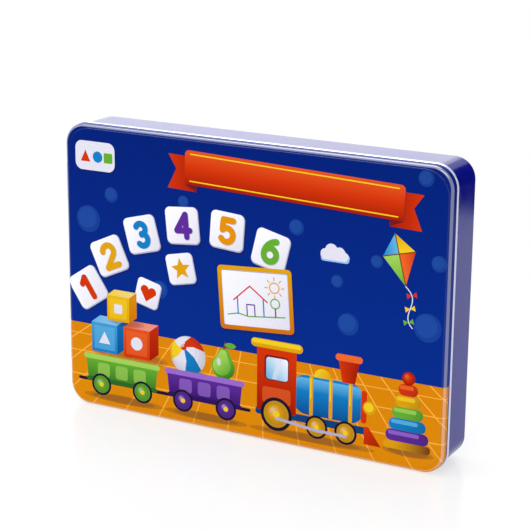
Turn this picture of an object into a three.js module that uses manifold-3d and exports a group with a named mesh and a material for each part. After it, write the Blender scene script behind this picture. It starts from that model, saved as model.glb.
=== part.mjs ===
// Magnetic spelling game in a hinged tin case, which stands closed on its long edge.
// Lengths are millimetres: x runs along the case, y from the lid's face to the back, z up.
// A place is given as seen from the front, inside the outline of the closed lid, whose
// lower edge is z = 0 and whose face is y = 0. The last group moves that to the part's frame.

import * as THREE from "three";
import { mergeVertices } from "three/addons/utils/BufferGeometryUtils.js";
import Module from "manifold-3d";

const wasm = await Module();
wasm.setup();

// Steel case
const sheet = 0.6;
const cornerRadius = 14;
const lidDepth = 5;
const lidShoulder = 1.8;
const faceLand = 0.3;
const faceStep = 0.5;
const faceStepRun = 0.7;
const faceCorner = 16;
const hemReach = 0.7;
const hemLength = 1.4;
const hemRound = 0.25;
const baseInset = 0.8;
const baseGap = 0.5;
const beadSize = 3.2;
const beadProud = 0.6;
const neckInset = 1.9;
const neckDrop = 0.5;
const neckRound = 0.15;
const backRadius = 2.5;
const footBorder = 12;
const footRecess = 0.8;
const footRecessRun = 1;
const footCorner = 6;

// Hinges on the left edge
const hingeSpacing = 110;
const hingeReach = 1.4;
const hingeDrop = 0.3;
const knuckleRadius = 1.15;
const knuckleBore = 0.68;
const knuckleLength = 8;
const knuckleGap = 0.3;
const webThickness = 0.9;
const pinRadius = 0.55;
const pinHeadRadius = 0.95;
const pinHeadLength = 0.4;
const pinHeadGap = 0.2;

// White board in the lid
const boardThickness = 0.6;
const boardGap = 0.2;
const boardMargin = 1.4;
const boardCorner = 14;

// Tray
const trayWall = 1;
const cupSink = 0.5;
const trayClearance = 0.4;
const trayMargin = 7;
const trayGap = 6.8;
const trayStandoff = 8.6;
const traySeatGap = 0.4;
const headroom = 7.4;
const sink = 0.5;
const seatGap = 0.2;
const reliefWidth = 9;
const reliefDepth = 2.4;

// Letter tiles
const tileSize = 22.5;
const tileThickness = 3;
const tileCorner = 3.2;
const tileBevel = 0.5;
const tileClearance = 0.4;
const tileRidge = 2.7;
const tileColumns = 9;
const letters = "ABCDEFGHIJKLMNOPQRSTUVWXYZ";

// Picture cards
const cardWidth = 104;
const cardHeight = 74;
const cardThickness = 1.2;
const cardCorner = 5;
const cardGap = 0.1;
const cardCount = 10;
const cardClearance = 0.6;
const thumbReach = 6.45;
const thumbRadius = 10;

// Marker pen
const barrelRadius = 5.2;
const barrelBore = 3.9;
const barrelLength = 78;
const noseRadius = 4.2;
const noseLength = 9;
const coneLength = 4;
const noseTipWall = 0.65;
const nibRadius = 1.5;
const nibReach = 3.5;
const nibTip = 0.8;
const nibTipRound = 0.35;
const nibGuide = 2;
const nibClearance = 0.15;
const plugLength = 6;
const plugRim = 2.2;
const plugChamfer = 1.1;
const plugClearance = 0.15;
const reservoirClearance = 0.4;
const capRadius = 5.8;
const capWall = 1.2;
const capLength = 36.8;
const capTaper = 0.9;
const capGap = 0.3;
const capTravel = 20;
const clipLength = 24;
const clipWidth = 3.2;
const clipHeight = 1.6;
const clipThickness = 0.9;
const penClearance = 0.6;
const slotCorner = 2;

// Eraser
const eraserWidth = 60;
const eraserHeight = 30;
const eraserCorner = 5;
const feltThickness = 7;
const feltInset = 1;
const handleThickness = 10.8;
const handleBevel = 1.5;
const gripDepth = 1.6;
const gripWidth = 3;
const gripLength = 34;
const feltGap = 0.1;
const eraserClearance = 0.6;

// Shared
const overrun = 1;
const bendShare = 0.5;
const cornerSegments = 6;
const smallSegments = 2;
const pocketSegments = 1;
const edgeSegments = 4;
const beadSegments = 6;
const pinSegments = 12;
const roundSegments = 16;
const notchSegments = 8;
const quarter = Math.PI / 2;

// Sizes that follow: the tray from what it holds, and the case from the tray
const beadStart = lidDepth + baseGap;
const beadEnd = beadStart + beadSize;
const boardBack = sheet + boardGap + boardThickness;
const deck = boardBack + headroom;
const trayInset = neckInset + sheet + trayClearance;

const tilePocket = tileSize + 2 * tileClearance;
const tilePitch = tilePocket + tileRidge;
const tileRows = Math.ceil(letters.length / tileColumns);
const fieldWidth = tileColumns * tilePitch - tileRidge;
const fieldHeight = tileRows * tilePitch - tileRidge;

const cardWellWidth = cardWidth + 2 * cardClearance;
const cardWellHeight = cardHeight + 2 * cardClearance;
const cardWellDepth = sink + cardCount * (cardThickness + cardGap) + seatGap;

const penLength = plugRim + barrelLength + capLength;
const penSlotLength = penLength + capTravel + 2 * penClearance;
const penSlotWidth = 2 * (capRadius + penClearance);
const penSlotDepth = sink + clipHeight + 2 * capRadius + seatGap;

const eraserWellWidth = eraserWidth + 2 * eraserClearance;
const eraserWellHeight = eraserHeight + 2 * eraserClearance;
const eraserThickness = feltThickness + feltGap + handleThickness;
const eraserWellDepth = sink + eraserThickness + seatGap;
const eraserNotchDepth = sink + handleThickness;

const lowerRowHeight = Math.max(
  cardWellHeight + 2 * thumbReach,
  penSlotWidth + trayGap + eraserWellHeight,
);
const lowerRowWidth = cardWellWidth + trayGap + Math.max(penSlotLength, eraserWellWidth);
const trayWidth = Math.max(lowerRowWidth, fieldWidth) + 2 * trayMargin;
const trayHeight = lowerRowHeight + trayGap + fieldHeight + 2 * trayMargin;
const deepestWell = Math.max(cardWellDepth, penSlotDepth, eraserWellDepth);

const caseWidth = trayWidth + 2 * trayInset;
const caseHeight = trayHeight + 2 * trayInset;
const caseDepth = deck + deepestWell + trayWall + trayStandoff + traySeatGap + sheet;

// Places that follow
const lowerRowBottom = trayInset + trayMargin;
const lowerRowMiddle = lowerRowBottom + lowerRowHeight / 2;
const fieldLeft = -fieldWidth / 2;
const fieldTop = caseHeight - trayInset - trayMargin;
const cardWellMiddle = -lowerRowWidth / 2 + cardWellWidth / 2;
const rightColumnLeft = -lowerRowWidth / 2 + cardWellWidth + trayGap;
const rightColumnMiddle = (rightColumnLeft + lowerRowWidth / 2) / 2;
const rightColumnSpare = lowerRowHeight - penSlotWidth - eraserWellHeight;
const penMiddle = lowerRowBottom + rightColumnSpare / 3 + penSlotWidth / 2;
const eraserMiddle = lowerRowBottom + lowerRowHeight - rightColumnSpare / 3 - eraserWellHeight / 2;
const hingeX = -caseWidth / 2 - hingeReach;
const hingeY = lidDepth + hingeDrop;

// Finishes
const material = (color, roughness, metalness) =>
  new THREE.MeshStandardMaterial({ color, roughness, metalness });
const printedBlue = material(0x02247a, 0.25, 0.2);
const printedLid = material(0x032a86, 0.25, 0.2);
const steel = material(0xb9bcc2, 0.35, 1);
const whiteBoard = material(0xf1f2f4, 0.2, 0);
const trayPlastic = material(0xe9ecf2, 0.5, 0);
const tileWhite = material(0xf3f3f6, 0.45, 0);
const cardWhite = material(0xf4f1ea, 0.55, 0);
const penWhite = material(0xf2f2f2, 0.3, 0);
const penBlue = material(0x0f4fb0, 0.3, 0);
const felt = material(0x3a3d45, 0.95, 0);
const handleOrange = material(0xe2700e, 0.35, 0);

// Solids and meshes
function toSolid(geometry) {
  const bare = new THREE.BufferGeometry();
  bare.setAttribute("position", geometry.getAttribute("position"));
  if (geometry.index) bare.setIndex(geometry.index);
  const merged = mergeVertices(bare);
  return new wasm.Manifold(
    new wasm.Mesh({
      numProp: 3,
      vertProperties: merged.getAttribute("position").array,
      triVerts: new Uint32Array(merged.index.array),
    }),
  );
}

function toGeometry(solid) {
  const mesh = solid.getMesh();
  const geometry = new THREE.BufferGeometry();
  const positions = new Float32Array(mesh.vertProperties);
  geometry.setAttribute("position", new THREE.BufferAttribute(positions, 3));
  geometry.setIndex(new THREE.BufferAttribute(new Uint32Array(mesh.triVerts), 1));
  return geometry;
}

function named(name, geometry, finish) {
  const mesh = new THREE.Mesh(geometry, finish);
  mesh.name = name;
  return mesh;
}

// A rounded rectangle about (x, z)
function roundedRectangle(width, height, radius, x = 0, z = 0) {
  const right = x + width / 2 - radius;
  const left = x - width / 2 + radius;
  const top = z + height / 2 - radius;
  const bottom = z - height / 2 + radius;
  const shape = new THREE.Shape();
  shape.absarc(right, top, radius, 0, quarter);
  shape.absarc(left, top, radius, quarter, 2 * quarter);
  shape.absarc(left, bottom, radius, 2 * quarter, 3 * quarter);
  shape.absarc(right, bottom, radius, 3 * quarter, 4 * quarter);
  return shape;
}

function circle(radius, x, z) {
  const shape = new THREE.Shape();
  shape.absarc(x, z, radius, 0, 4 * quarter);
  return shape;
}

// A shape in x and z, as thick as from front to back in y
function slab(shape, front, back, curveSegments = smallSegments, bevel = 0) {
  const geometry = new THREE.ExtrudeGeometry(shape, {
    depth: back - front - 2 * bevel,
    curveSegments,
    bevelEnabled: bevel > 0,
    bevelThickness: bevel,
    bevelSize: bevel,
    bevelOffset: -bevel,
    bevelSegments: 1,
  });
  geometry.rotateX(quarter);
  geometry.translate(0, back - bevel, 0);
  return geometry;
}

function box(left, right, front, back, bottom, top) {
  const geometry = new THREE.BoxGeometry(right - left, back - front, top - bottom);
  geometry.translate((left + right) / 2, (front + back) / 2, (bottom + top) / 2);
  return geometry;
}

// Pressed shells: a section of [inset, y, corner radius] goes round the case. Its first point
// closes over the middle towards the front, its last towards the back.
function caseRing([inset, y, radius = cornerRadius - inset]) {
  const ring = [];
  const reach = caseWidth / 2 - inset - radius;
  const rise = caseHeight / 2 - inset - radius;
  const turns = [
    [1, 1],
    [-1, 1],
    [-1, -1],
    [1, -1],
  ];
  turns.forEach(([sideX, sideZ], corner) => {
    for (let i = 0; i <= cornerSegments; i++) {
      const angle = (corner + i / cornerSegments) * quarter;
      const x = sideX * reach + radius * Math.cos(angle);
      const z = caseHeight / 2 + sideZ * rise + radius * Math.sin(angle);
      ring.push([x, y, z]);
    }
  });
  return ring;
}

function pressedShell(section) {
  const rings = section.map(caseRing);
  const count = rings[0].length;
  const positions = rings.flat(2);
  const triangles = [];
  for (let row = 0; row + 1 < rings.length; row++)
    for (let i = 0; i < count; i++) {
      const next = (i + 1) % count;
      const a = row * count + i;
      const b = row * count + next;
      triangles.push(a, b + count, b, a, a + count, b + count);
    }
  const last = rings.length - 1;
  for (const row of [0, last]) {
    const centre = positions.length / 3;
    positions.push(0, section[row][1], caseHeight / 2);
    for (let i = 0; i < count; i++) {
      const edge = [row * count + i, row * count + ((i + 1) % count)];
      triangles.push(centre, ...(row === last ? edge.reverse() : edge));
    }
  }
  const geometry = new THREE.BufferGeometry();
  geometry.setAttribute("position", new THREE.Float32BufferAttribute(positions, 3));
  geometry.setIndex(triangles);
  return toSolid(geometry);
}

// A round edge about [inset, y]. An angle of 0 points inward, and a quarter turn points back.
function roundEdge(inset, y, radiusIn, radiusBack, from, to, steps = edgeSegments) {
  const points = [];
  for (let i = 0; i <= steps; i++) {
    const angle = from + ((to - from) * i) / steps;
    points.push([inset + radiusIn * Math.cos(angle), y + radiusBack * Math.sin(angle)]);
  }
  return points;
}

function lidSection() {
  const shoulderY = faceStep + lidShoulder;
  const shoulderIn = lidShoulder - sheet;
  const landEnd = lidShoulder + faceLand;
  const hemInset = sheet + hemReach;
  const bend = sheet * bendShare;
  return [
    [landEnd + faceStepRun, 0, faceCorner],
    [landEnd, faceStep, faceCorner],
    ...roundEdge(lidShoulder, shoulderY, lidShoulder, lidShoulder, 3 * quarter, 2 * quarter),
    [0, lidDepth - hemRound],
    [hemRound, lidDepth],
    [hemInset - hemRound, lidDepth],
    [hemInset, lidDepth - hemRound],
    [hemInset, lidDepth - hemLength + hemRound],
    [hemInset - hemRound, lidDepth - hemLength],
    [sheet, lidDepth - hemLength],
    ...roundEdge(lidShoulder, shoulderY, shoulderIn, shoulderIn, 2 * quarter, 3 * quarter),
    [landEnd + bend, faceStep + sheet, faceCorner],
    [landEnd + faceStepRun + bend, sheet, faceCorner],
  ];
}

function baseSection() {
  const neckFront = faceStep + sheet + neckDrop;
  const innerBack = backRadius - sheet;
  const edgeInset = baseInset + backRadius;
  const edgeY = caseDepth - backRadius;
  const borderEnd = edgeInset + footBorder;
  const beadMiddle = (beadStart + beadEnd) / 2;
  const beadReach = baseInset + beadProud;
  const bend = sheet * bendShare;
  const neckInner = neckInset + sheet;
  const neckStepBack = beadStart + sheet + neckInset - baseInset;
  return [
    [borderEnd + footRecessRun + bend, caseDepth - footRecess - sheet, footCorner],
    [borderEnd + bend, caseDepth - sheet, footCorner],
    ...roundEdge(edgeInset, edgeY, innerBack, innerBack, quarter, 2 * quarter),
    [baseInset + sheet, neckStepBack],
    [neckInner, beadStart + sheet],
    [neckInner, neckFront + neckRound],
    [neckInner - neckRound, neckFront],
    [neckInset + neckRound, neckFront],
    [neckInset, neckFront + neckRound],
    [neckInset, beadStart],
    ...roundEdge(
      baseInset,
      beadMiddle,
      beadReach,
      beadSize / 2,
      3 * quarter,
      quarter,
      beadSegments,
    ),
    ...roundEdge(edgeInset, edgeY, backRadius, backRadius, 2 * quarter, quarter),
    [borderEnd, caseDepth, footCorner],
    [borderEnd + footRecessRun, caseDepth - footRecess, footCorner],
  ];
}

// Hinges: three knuckles each, the outer two on the base and the middle one on the lid
const hingeHeights = [
  caseHeight / 2 + hingeSpacing / 2,
  caseHeight / 2 - hingeSpacing / 2,
];
const knucklePitch = knuckleLength + knuckleGap;

function upright(radius, middle, length) {
  const geometry = new THREE.CylinderGeometry(radius, radius, length, pinSegments);
  geometry.rotateX(quarter);
  geometry.translate(hingeX, hingeY, middle);
  return geometry;
}

function lidTin() {
  let solid = pressedShell(lidSection());
  for (const middle of hingeHeights) {
    const [low, high] = [middle - knuckleLength / 2, middle + knuckleLength / 2];
    const webRight = -caseWidth / 2 + sheet;
    const webFront = hingeY - knuckleRadius;
    solid = solid
      .add(toSolid(upright(knuckleRadius, middle, knuckleLength)))
      .add(toSolid(box(hingeX, webRight, webFront, webFront + webThickness, low, high)))
      .subtract(toSolid(upright(knuckleBore, middle, knuckleLength + 2 * overrun)));
  }
  return named("lid_tin", toGeometry(solid), printedLid);
}

function baseTin() {
  let solid = pressedShell(baseSection());
  const webRight = -caseWidth / 2 + baseInset + sheet * bendShare;
  const webBack = hingeY + knuckleRadius;
  const webFront = webBack - webThickness;
  for (const middle of hingeHeights)
    for (const side of [-1, 1]) {
      const centre = middle + side * knucklePitch;
      const [low, high] = [centre - knuckleLength / 2, centre + knuckleLength / 2];
      solid = solid
        .add(toSolid(upright(knuckleRadius, centre, knuckleLength)))
        .add(toSolid(box(hingeX, webRight, webFront, webBack, low, high)))
        .subtract(toSolid(upright(knuckleBore, centre, knuckleLength + knuckleGap)));
    }
  return named("base_tin", toGeometry(solid), printedBlue);
}

function hingePin(name, middle) {
  const shank = (3 * knuckleLength + 2 * knuckleGap) / 2 + pinHeadGap;
  const profile = [
    [0, -shank - pinHeadLength],
    [pinHeadRadius, -shank - pinHeadLength],
    [pinHeadRadius, -shank],
    [pinRadius, -shank],
    [pinRadius, shank],
    [pinHeadRadius, shank],
    [pinHeadRadius, shank + pinHeadLength],
    [0, shank + pinHeadLength],
  ].map(([radius, height]) => new THREE.Vector2(radius, height));
  const geometry = new THREE.LatheGeometry(profile, pinSegments);
  geometry.rotateX(quarter);
  const pin = named(name, geometry, steel);
  pin.position.set(hingeX, hingeY, middle);
  return pin;
}

// White board: a laminated sheet behind the lid's raised face
function writingBoard() {
  const inset = lidShoulder + faceLand + faceStepRun + sheet + boardMargin;
  const width = caseWidth - 2 * inset;
  const height = caseHeight - 2 * inset;
  const shape = roundedRectangle(width, height, boardCorner, 0, caseHeight / 2);
  const front = sheet + boardGap;
  return named("writing_board", slab(shape, front, boardBack, cornerSegments), whiteBoard);
}

// Letter tile places: rows from the top, the last row centred
function tilePlaces() {
  return [...letters].map((letter, index) => {
    const row = Math.floor(index / tileColumns);
    const inRow = Math.min(tileColumns, letters.length - row * tileColumns);
    const rowLeft = fieldLeft + ((tileColumns - inRow) * tilePitch) / 2;
    const x = rowLeft + (index - row * tileColumns) * tilePitch + tilePocket / 2;
    const z = fieldTop - row * tilePitch - tilePocket / 2;
    return { letter, row, x, z };
  });
}

function letterTile({ letter, x, z }) {
  const front = sink;
  const shape = roundedRectangle(tileSize, tileSize, tileCorner);
  const geometry = slab(shape, front, front + tileThickness, smallSegments, tileBevel);
  const tile = named(`letter_tile_${letter}`, geometry, tileWhite);
  tile.position.set(x, deck, z);
  return tile;
}

// Tray: a deck with a skirt down to the base, and wells hanging under the deck
function traySkirt() {
  const foot = caseDepth - sheet - traySeatGap;
  const middle = caseHeight / 2;
  const corner = cornerRadius - trayInset;
  const outer = roundedRectangle(trayWidth, trayHeight, corner, 0, middle);
  const innerWidth = trayWidth - 2 * trayWall;
  const innerHeight = trayHeight - 2 * trayWall;
  const inner = roundedRectangle(innerWidth, innerHeight, corner - trayWall, 0, middle);
  return toSolid(slab(outer, deck, foot, cornerSegments)).subtract(
    toSolid(slab(inner, deck + trayWall, foot + overrun, cornerSegments)),
  );
}

function well(width, height, radius, x, z, depth) {
  const outerWidth = width + 2 * trayWall;
  const outerHeight = height + 2 * trayWall;
  const cup = roundedRectangle(outerWidth, outerHeight, radius + trayWall, x, z);
  const hollow = roundedRectangle(width, height, radius, x, z);
  return {
    cup: toSolid(slab(cup, deck + cupSink, deck + depth + trayWall)),
    hollow: toSolid(slab(hollow, deck - overrun, deck + depth)),
  };
}

function tileField() {
  const depth = sink + tileThickness + seatGap;
  const rows = [];
  for (let row = 0; row < tileRows; row++) {
    const places = tilePlaces().filter((place) => place.row === row);
    const [first, last] = [places[0], places[places.length - 1]];
    const left = first.x - tilePocket / 2 - trayWall;
    const right = last.x + tilePocket / 2 + trayWall;
    const bottom = first.z - tilePocket / 2 - trayWall;
    const top = first.z + tilePocket / 2 + (row > 0 ? tileRidge : trayWall);
    rows.push({ places, left, right, bottom, top, first, last });
  }
  const cups = rows.map(({ left, right, bottom, top }) =>
    toSolid(box(left, right, deck + cupSink, deck + depth + trayWall, bottom, top)),
  );
  const pockets = rows.flatMap(({ places }) =>
    places.map(({ x, z }) => {
      const radius = tileCorner + tileClearance;
      const pocket = roundedRectangle(tilePocket, tilePocket, radius, x, z);
      return toSolid(slab(pocket, deck - overrun, deck + depth, pocketSegments));
    }),
  );
  const reliefs = rows.map(({ first, last }) => {
    const [low, high] = [first.z - reliefWidth / 2, first.z + reliefWidth / 2];
    return toSolid(box(first.x, last.x, deck - overrun, deck + reliefDepth, low, high));
  });
  return { cups, hollows: [...pockets, ...reliefs] };
}

function notch(x, z, depth) {
  const cup = circle(thumbRadius + trayWall, x, z);
  const hollow = circle(thumbRadius, x, z);
  return {
    cup: toSolid(slab(cup, deck + cupSink, deck + depth + trayWall, notchSegments)),
    hollow: toSolid(slab(hollow, deck - overrun, deck + depth, notchSegments)),
  };
}

// Round notches for a thumb and a finger, at two edges of the card well and the eraser well
function thumbNotches() {
  const cardOffset = cardWellHeight / 2 + thumbReach - thumbRadius;
  const eraserOffset = eraserWellWidth / 2 + thumbReach - thumbRadius;
  return [-1, 1].flatMap((side) => [
    notch(cardWellMiddle, lowerRowMiddle + side * cardOffset, cardWellDepth),
    notch(rightColumnMiddle + side * eraserOffset, eraserMiddle, eraserNotchDepth),
  ]);
}

function insertTray() {
  const cardRadius = cardCorner + cardClearance;
  const eraserRadius = eraserCorner + eraserClearance;
  const wells = [
    well(
      cardWellWidth,
      cardWellHeight,
      cardRadius,
      cardWellMiddle,
      lowerRowMiddle,
      cardWellDepth,
    ),
    well(
      penSlotLength,
      penSlotWidth,
      slotCorner,
      rightColumnMiddle,
      penMiddle,
      penSlotDepth,
    ),
    well(
      eraserWellWidth,
      eraserWellHeight,
      eraserRadius,
      rightColumnMiddle,
      eraserMiddle,
      eraserWellDepth,
    ),
    ...thumbNotches(),
  ];
  const field = tileField();
  const cups = [...wells.map(({ cup }) => cup), ...field.cups];
  const hollows = [...wells.map(({ hollow }) => hollow), ...field.hollows];
  let solid = traySkirt();
  for (const cup of cups) solid = solid.add(cup);
  for (const hollow of hollows) solid = solid.subtract(hollow);
  return named("insert_tray", toGeometry(solid), trayPlastic);
}

function pictureCard(index) {
  const front = deck + sink + index * (cardThickness + cardGap);
  const shape = roundedRectangle(
    cardWidth,
    cardHeight,
    cardCorner,
    cardWellMiddle,
    lowerRowMiddle,
  );
  const name = `picture_card_${String(index + 1).padStart(2, "0")}`;
  return named(name, slab(shape, front, front + cardThickness), cardWhite);
}

// Marker pen, along x from its back end: x is 0 at the back of the barrel
function turned(profile) {
  const points = profile.map(([along, radius]) => new THREE.Vector2(radius, along));
  const geometry = new THREE.LatheGeometry(points, roundSegments);
  geometry.rotateZ(-quarter);
  return geometry;
}

const noseStart = barrelLength;
const coneStart = noseStart + noseLength;
const coneEnd = coneStart + coneLength;
const nibBore = nibRadius + nibClearance;
const barrelWall = barrelRadius - barrelBore;
const reservoirFront = noseStart - barrelWall - reservoirClearance;

function penBarrel() {
  const noseBore = noseRadius - barrelWall;
  const profile = [
    [0, barrelBore],
    [0, barrelRadius],
    [noseStart, barrelRadius],
    [noseStart, noseRadius],
    [coneStart, noseRadius],
    [coneEnd, nibBore + noseTipWall],
    [coneEnd, nibBore],
    [coneStart - nibGuide, nibBore],
    [coneStart - nibGuide, noseBore],
    [noseStart - barrelWall, noseBore],
    [noseStart - barrelWall, barrelBore],
    [0, barrelBore],
  ];
  return named("pen_barrel", turned(profile), penWhite);
}

function penNib() {
  const profile = [
    [reservoirFront + reservoirClearance, 0],
    [reservoirFront + reservoirClearance, nibRadius],
    [coneEnd + nibReach - nibTip, nibRadius],
    [coneEnd + nibReach - nibTipRound, nibRadius - nibTipRound],
    [coneEnd + nibReach, 0],
  ];
  return named("pen_nib", turned(profile), penBlue);
}

function penReservoir() {
  const radius = barrelBore - reservoirClearance;
  const profile = [
    [plugLength + reservoirClearance, 0],
    [plugLength + reservoirClearance, radius],
    [reservoirFront, radius],
    [reservoirFront, 0],
  ];
  return named("pen_reservoir", turned(profile), felt);
}

function penEndPlug() {
  const stem = barrelBore - plugClearance;
  const profile = [
    [-plugRim, 0],
    [-plugRim, barrelRadius - plugChamfer],
    [plugChamfer - plugRim, barrelRadius],
    [-plugClearance, barrelRadius],
    [-plugClearance, stem],
    [plugLength, stem],
    [plugLength, 0],
  ];
  return named("pen_end_plug", turned(profile), penBlue);
}

function penCap() {
  const mouth = noseStart + capGap;
  const end = noseStart + capLength;
  const bore = capRadius - capWall;
  const outside = turned([
    [mouth, 0],
    [mouth, capRadius],
    [end - capTaper, capRadius],
    [end, capRadius - capTaper],
    [end, 0],
  ]);
  const inside = turned([
    [mouth - overrun, 0],
    [mouth - overrun, bore],
    [end - capWall - capTaper, bore],
    [end - capWall, bore - capTaper],
    [end - capWall, 0],
  ]);
  const front = -capRadius - clipHeight;
  const [low, high] = [-clipWidth / 2, clipWidth / 2];
  const clipEnd = end - capTaper;
  const footLeft = clipEnd - 2 * clipThickness;
  const bar = box(clipEnd - clipLength, clipEnd, front, front + clipThickness, low, high);
  const foot = box(footLeft, clipEnd, front, capWall / 2 - capRadius, low, high);
  const solid = toSolid(outside)
    .subtract(toSolid(inside))
    .add(toSolid(bar))
    .add(toSolid(foot));
  return named("pen_cap", toGeometry(solid), penBlue);
}

function pen() {
  const group = new THREE.Group();
  group.add(penBarrel(), penReservoir(), penNib(), penEndPlug(), penCap());
  const back = rightColumnMiddle - penSlotLength / 2 + penClearance + plugRim;
  group.position.set(back, deck + sink + clipHeight + capRadius, penMiddle);
  return group;
}

// Eraser: a moulded handle over a felt block
function eraser() {
  const shape = roundedRectangle(eraserWidth, eraserHeight, eraserCorner);
  const body = toSolid(slab(shape, 0, handleThickness, smallSegments, handleBevel));
  const grips = [-1, 1].map((side) => {
    const z = (side * eraserHeight) / 2;
    const grip = roundedRectangle(gripLength, 2 * gripDepth, gripDepth / 2, 0, z);
    const middle = handleThickness / 2;
    return toSolid(slab(grip, middle - gripWidth / 2, middle + gripWidth / 2));
  });
  const handle = grips.reduce((solid, grip) => solid.subtract(grip), body);
  const feltWidth = eraserWidth - 2 * feltInset;
  const feltHeight = eraserHeight - 2 * feltInset;
  const pad = roundedRectangle(feltWidth, feltHeight, eraserCorner - feltInset);
  const padFront = handleThickness + feltGap;
  const group = new THREE.Group();
  group.add(
    named("eraser_handle", toGeometry(handle), handleOrange),
    named("eraser_felt", slab(pad, padFront, padFront + feltThickness), felt),
  );
  group.position.set(rightColumnMiddle, deck + sink, eraserMiddle);
  return group;
}

// The whole set, moved so that the middle of its foot is the origin
const game = new THREE.Group();
game.add(baseTin(), lidTin());
game.add(hingePin("hinge_pin_upper", hingeHeights[0]));
game.add(hingePin("hinge_pin_lower", hingeHeights[1]));
game.add(writingBoard(), insertTray());
for (const place of tilePlaces()) game.add(letterTile(place));
for (let index = 0; index < cardCount; index++) game.add(pictureCard(index));
game.add(pen(), eraser());
const hingeOverhang = hingeReach + knuckleRadius - beadProud;
game.position.set(hingeOverhang / 2, -caseDepth / 2, beadProud);

const assembly = new THREE.Group();
assembly.add(game);

export default assembly;
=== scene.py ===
"""Looks of a magnetic spelling game in a hinged tin case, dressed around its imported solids.

Lengths are millimetres in the case's own coordinates: x runs along the case from its middle, y from
the lid's face to the back, z up from the lower edge of the lid. case_point() moves them to the frame.
"""

import math
from collections import namedtuple

import bpy
from mathutils import Matrix, Vector
from mathutils.geometry import delaunay_2d_cdt


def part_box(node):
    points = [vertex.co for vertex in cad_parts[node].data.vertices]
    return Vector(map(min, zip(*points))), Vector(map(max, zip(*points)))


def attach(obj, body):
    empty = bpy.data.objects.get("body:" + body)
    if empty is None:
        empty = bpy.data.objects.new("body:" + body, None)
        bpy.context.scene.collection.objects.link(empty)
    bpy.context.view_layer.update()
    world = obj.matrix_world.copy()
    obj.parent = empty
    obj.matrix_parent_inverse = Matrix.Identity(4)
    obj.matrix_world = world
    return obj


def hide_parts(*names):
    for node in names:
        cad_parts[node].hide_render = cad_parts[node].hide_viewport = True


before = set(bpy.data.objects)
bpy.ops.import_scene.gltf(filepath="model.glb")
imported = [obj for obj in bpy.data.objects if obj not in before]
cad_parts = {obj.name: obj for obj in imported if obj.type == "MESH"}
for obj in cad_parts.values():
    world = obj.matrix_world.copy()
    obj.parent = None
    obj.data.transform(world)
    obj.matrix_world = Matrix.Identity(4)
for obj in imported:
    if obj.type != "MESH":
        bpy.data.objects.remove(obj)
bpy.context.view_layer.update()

# Places and sizes that follow from the frame
MM = 0.001
lid_low, lid_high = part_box("lid_tin")
base_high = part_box("base_tin")[1]
tray_low, tray_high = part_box("insert_tray")
ORIGIN = Vector(((tray_low.x + tray_high.x) / 2, lid_low.y, lid_low.z))
CASE_WIDTH = 2 * (lid_high.x - ORIGIN.x) / MM
CASE_HEIGHT = (lid_high.z - lid_low.z) / MM
CASE_DEPTH = (base_high.y - lid_low.y) / MM
QUARTER = math.pi / 2


def case_point(x, y, z):
    """A place in case millimetres, as a point of the frame in metres."""
    return ORIGIN + Vector((x, y, z)) * MM


def case_box(node):
    """Lowest and highest corner of a CAD node in case millimetres."""
    return [(corner - ORIGIN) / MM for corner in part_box(node)]


# Steel case
SHEET = 0.6
CORNER = 14
LID_DEPTH = 5
SHOULDER = 1.8
FACE_LAND = 0.3
FACE_STEP = 0.5
FACE_STEP_RUN = 0.7
FACE_CORNER = 16
HEM_REACH = 0.7
HEM_LENGTH = 1.4
HEM_ROUND = 0.25
BASE_INSET = 0.8
BASE_GAP = 0.5
BEAD_SIZE = 3.2
BEAD_PROUD = 0.6
NECK_INSET = 1.9
NECK_DROP = 0.5
NECK_ROUND = 0.2
BACK_RADIUS = 2.5
FOOT_BORDER = 12
FOOT_RECESS = 0.8
FOOT_RUN = 1
FOOT_SLOPE = ((0, 0), (0.25, 0.15), (0.75, 0.85), (1, 1))
FOOT_CORNER = 6

# Hinges; a pin's head is told by drops from its end, each with a radius
HINGE_REACH = 1.4
HINGE_DROP = 0.3
HINGE_SPACING = 110
HINGE = (-CASE_WIDTH / 2 - HINGE_REACH, LID_DEPTH + HINGE_DROP)
KNUCKLE_RADIUS = 1.15
KNUCKLE_BORE = 0.7
KNUCKLE_LENGTH = 8
KNUCKLE_GAP = 0.3
CURL_PAST = 25
PIN_RADIUS = 0.55
PIN_HEAD_LENGTH = 0.4
PIN_HEAD = ((0.36, 0.95), (0.3, 0.86), (0.12, 0.6), (0, 0))

# Board, tray and what lies in it
BOARD_EDGE = 0.1
BOARD_LINE_INSET = 6
BOARD_LINE = 0.7
WELL_LIP = 0.5
WELL_FILLET = 0.5
WELL_DRAFT = 0.02
WELL_MARGIN = 1
TRAY_EDGE = 1
TRAY_WALL = 1
TRAY_SIDE = 2
TRAY_FOOT_EDGE = 0.2
TILE_CLEARANCE = 0.4
TILE_CORNER = 3.2
TILE_EDGE = 0.5
RELIEF_WIDTH = 9
RELIEF_DEPTH = 2.4
RELIEF_CORNER = 1
SINK = 0.5
SEAT_GAP = 0.2
CARD_CORNER = 5
CARD_EDGE = 0.15
LOOSE_CLEARANCE = 0.6
THUMB_REACH = 6.45
THUMB_RADIUS = 10
CAP_TRAVEL = 20
SLOT_CORNER = 2
ERASER_CORNER = 5
HANDLE_EDGES = (1.5, 0.4)
GRIP_SIZE = (34, 3.2)
GRIP_CORNER = 0.8
GRIP_EDGES = (0.4, 0.4)
GRIP_HALF = 1.5
FELT_CORNER = 4
FELT_EDGE = 0.3
FELT_FOLD = 0.05
FELT_BACK = ((0, 0.6), (0.2, 0.2), (0.6, 0))
LETTERS = "ABCDEFGHIJKLMNOPQRSTUVWXYZ"
LETTER_HEIGHT = 14.5
LETTER_STROKE = 2.6
TILE_GROUND = (30, 30)
CARD_GROUND = (120, 90)
CARD_FIELD = (96, 66, 4)
CARD_LINE = (92, 62, 3)

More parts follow.
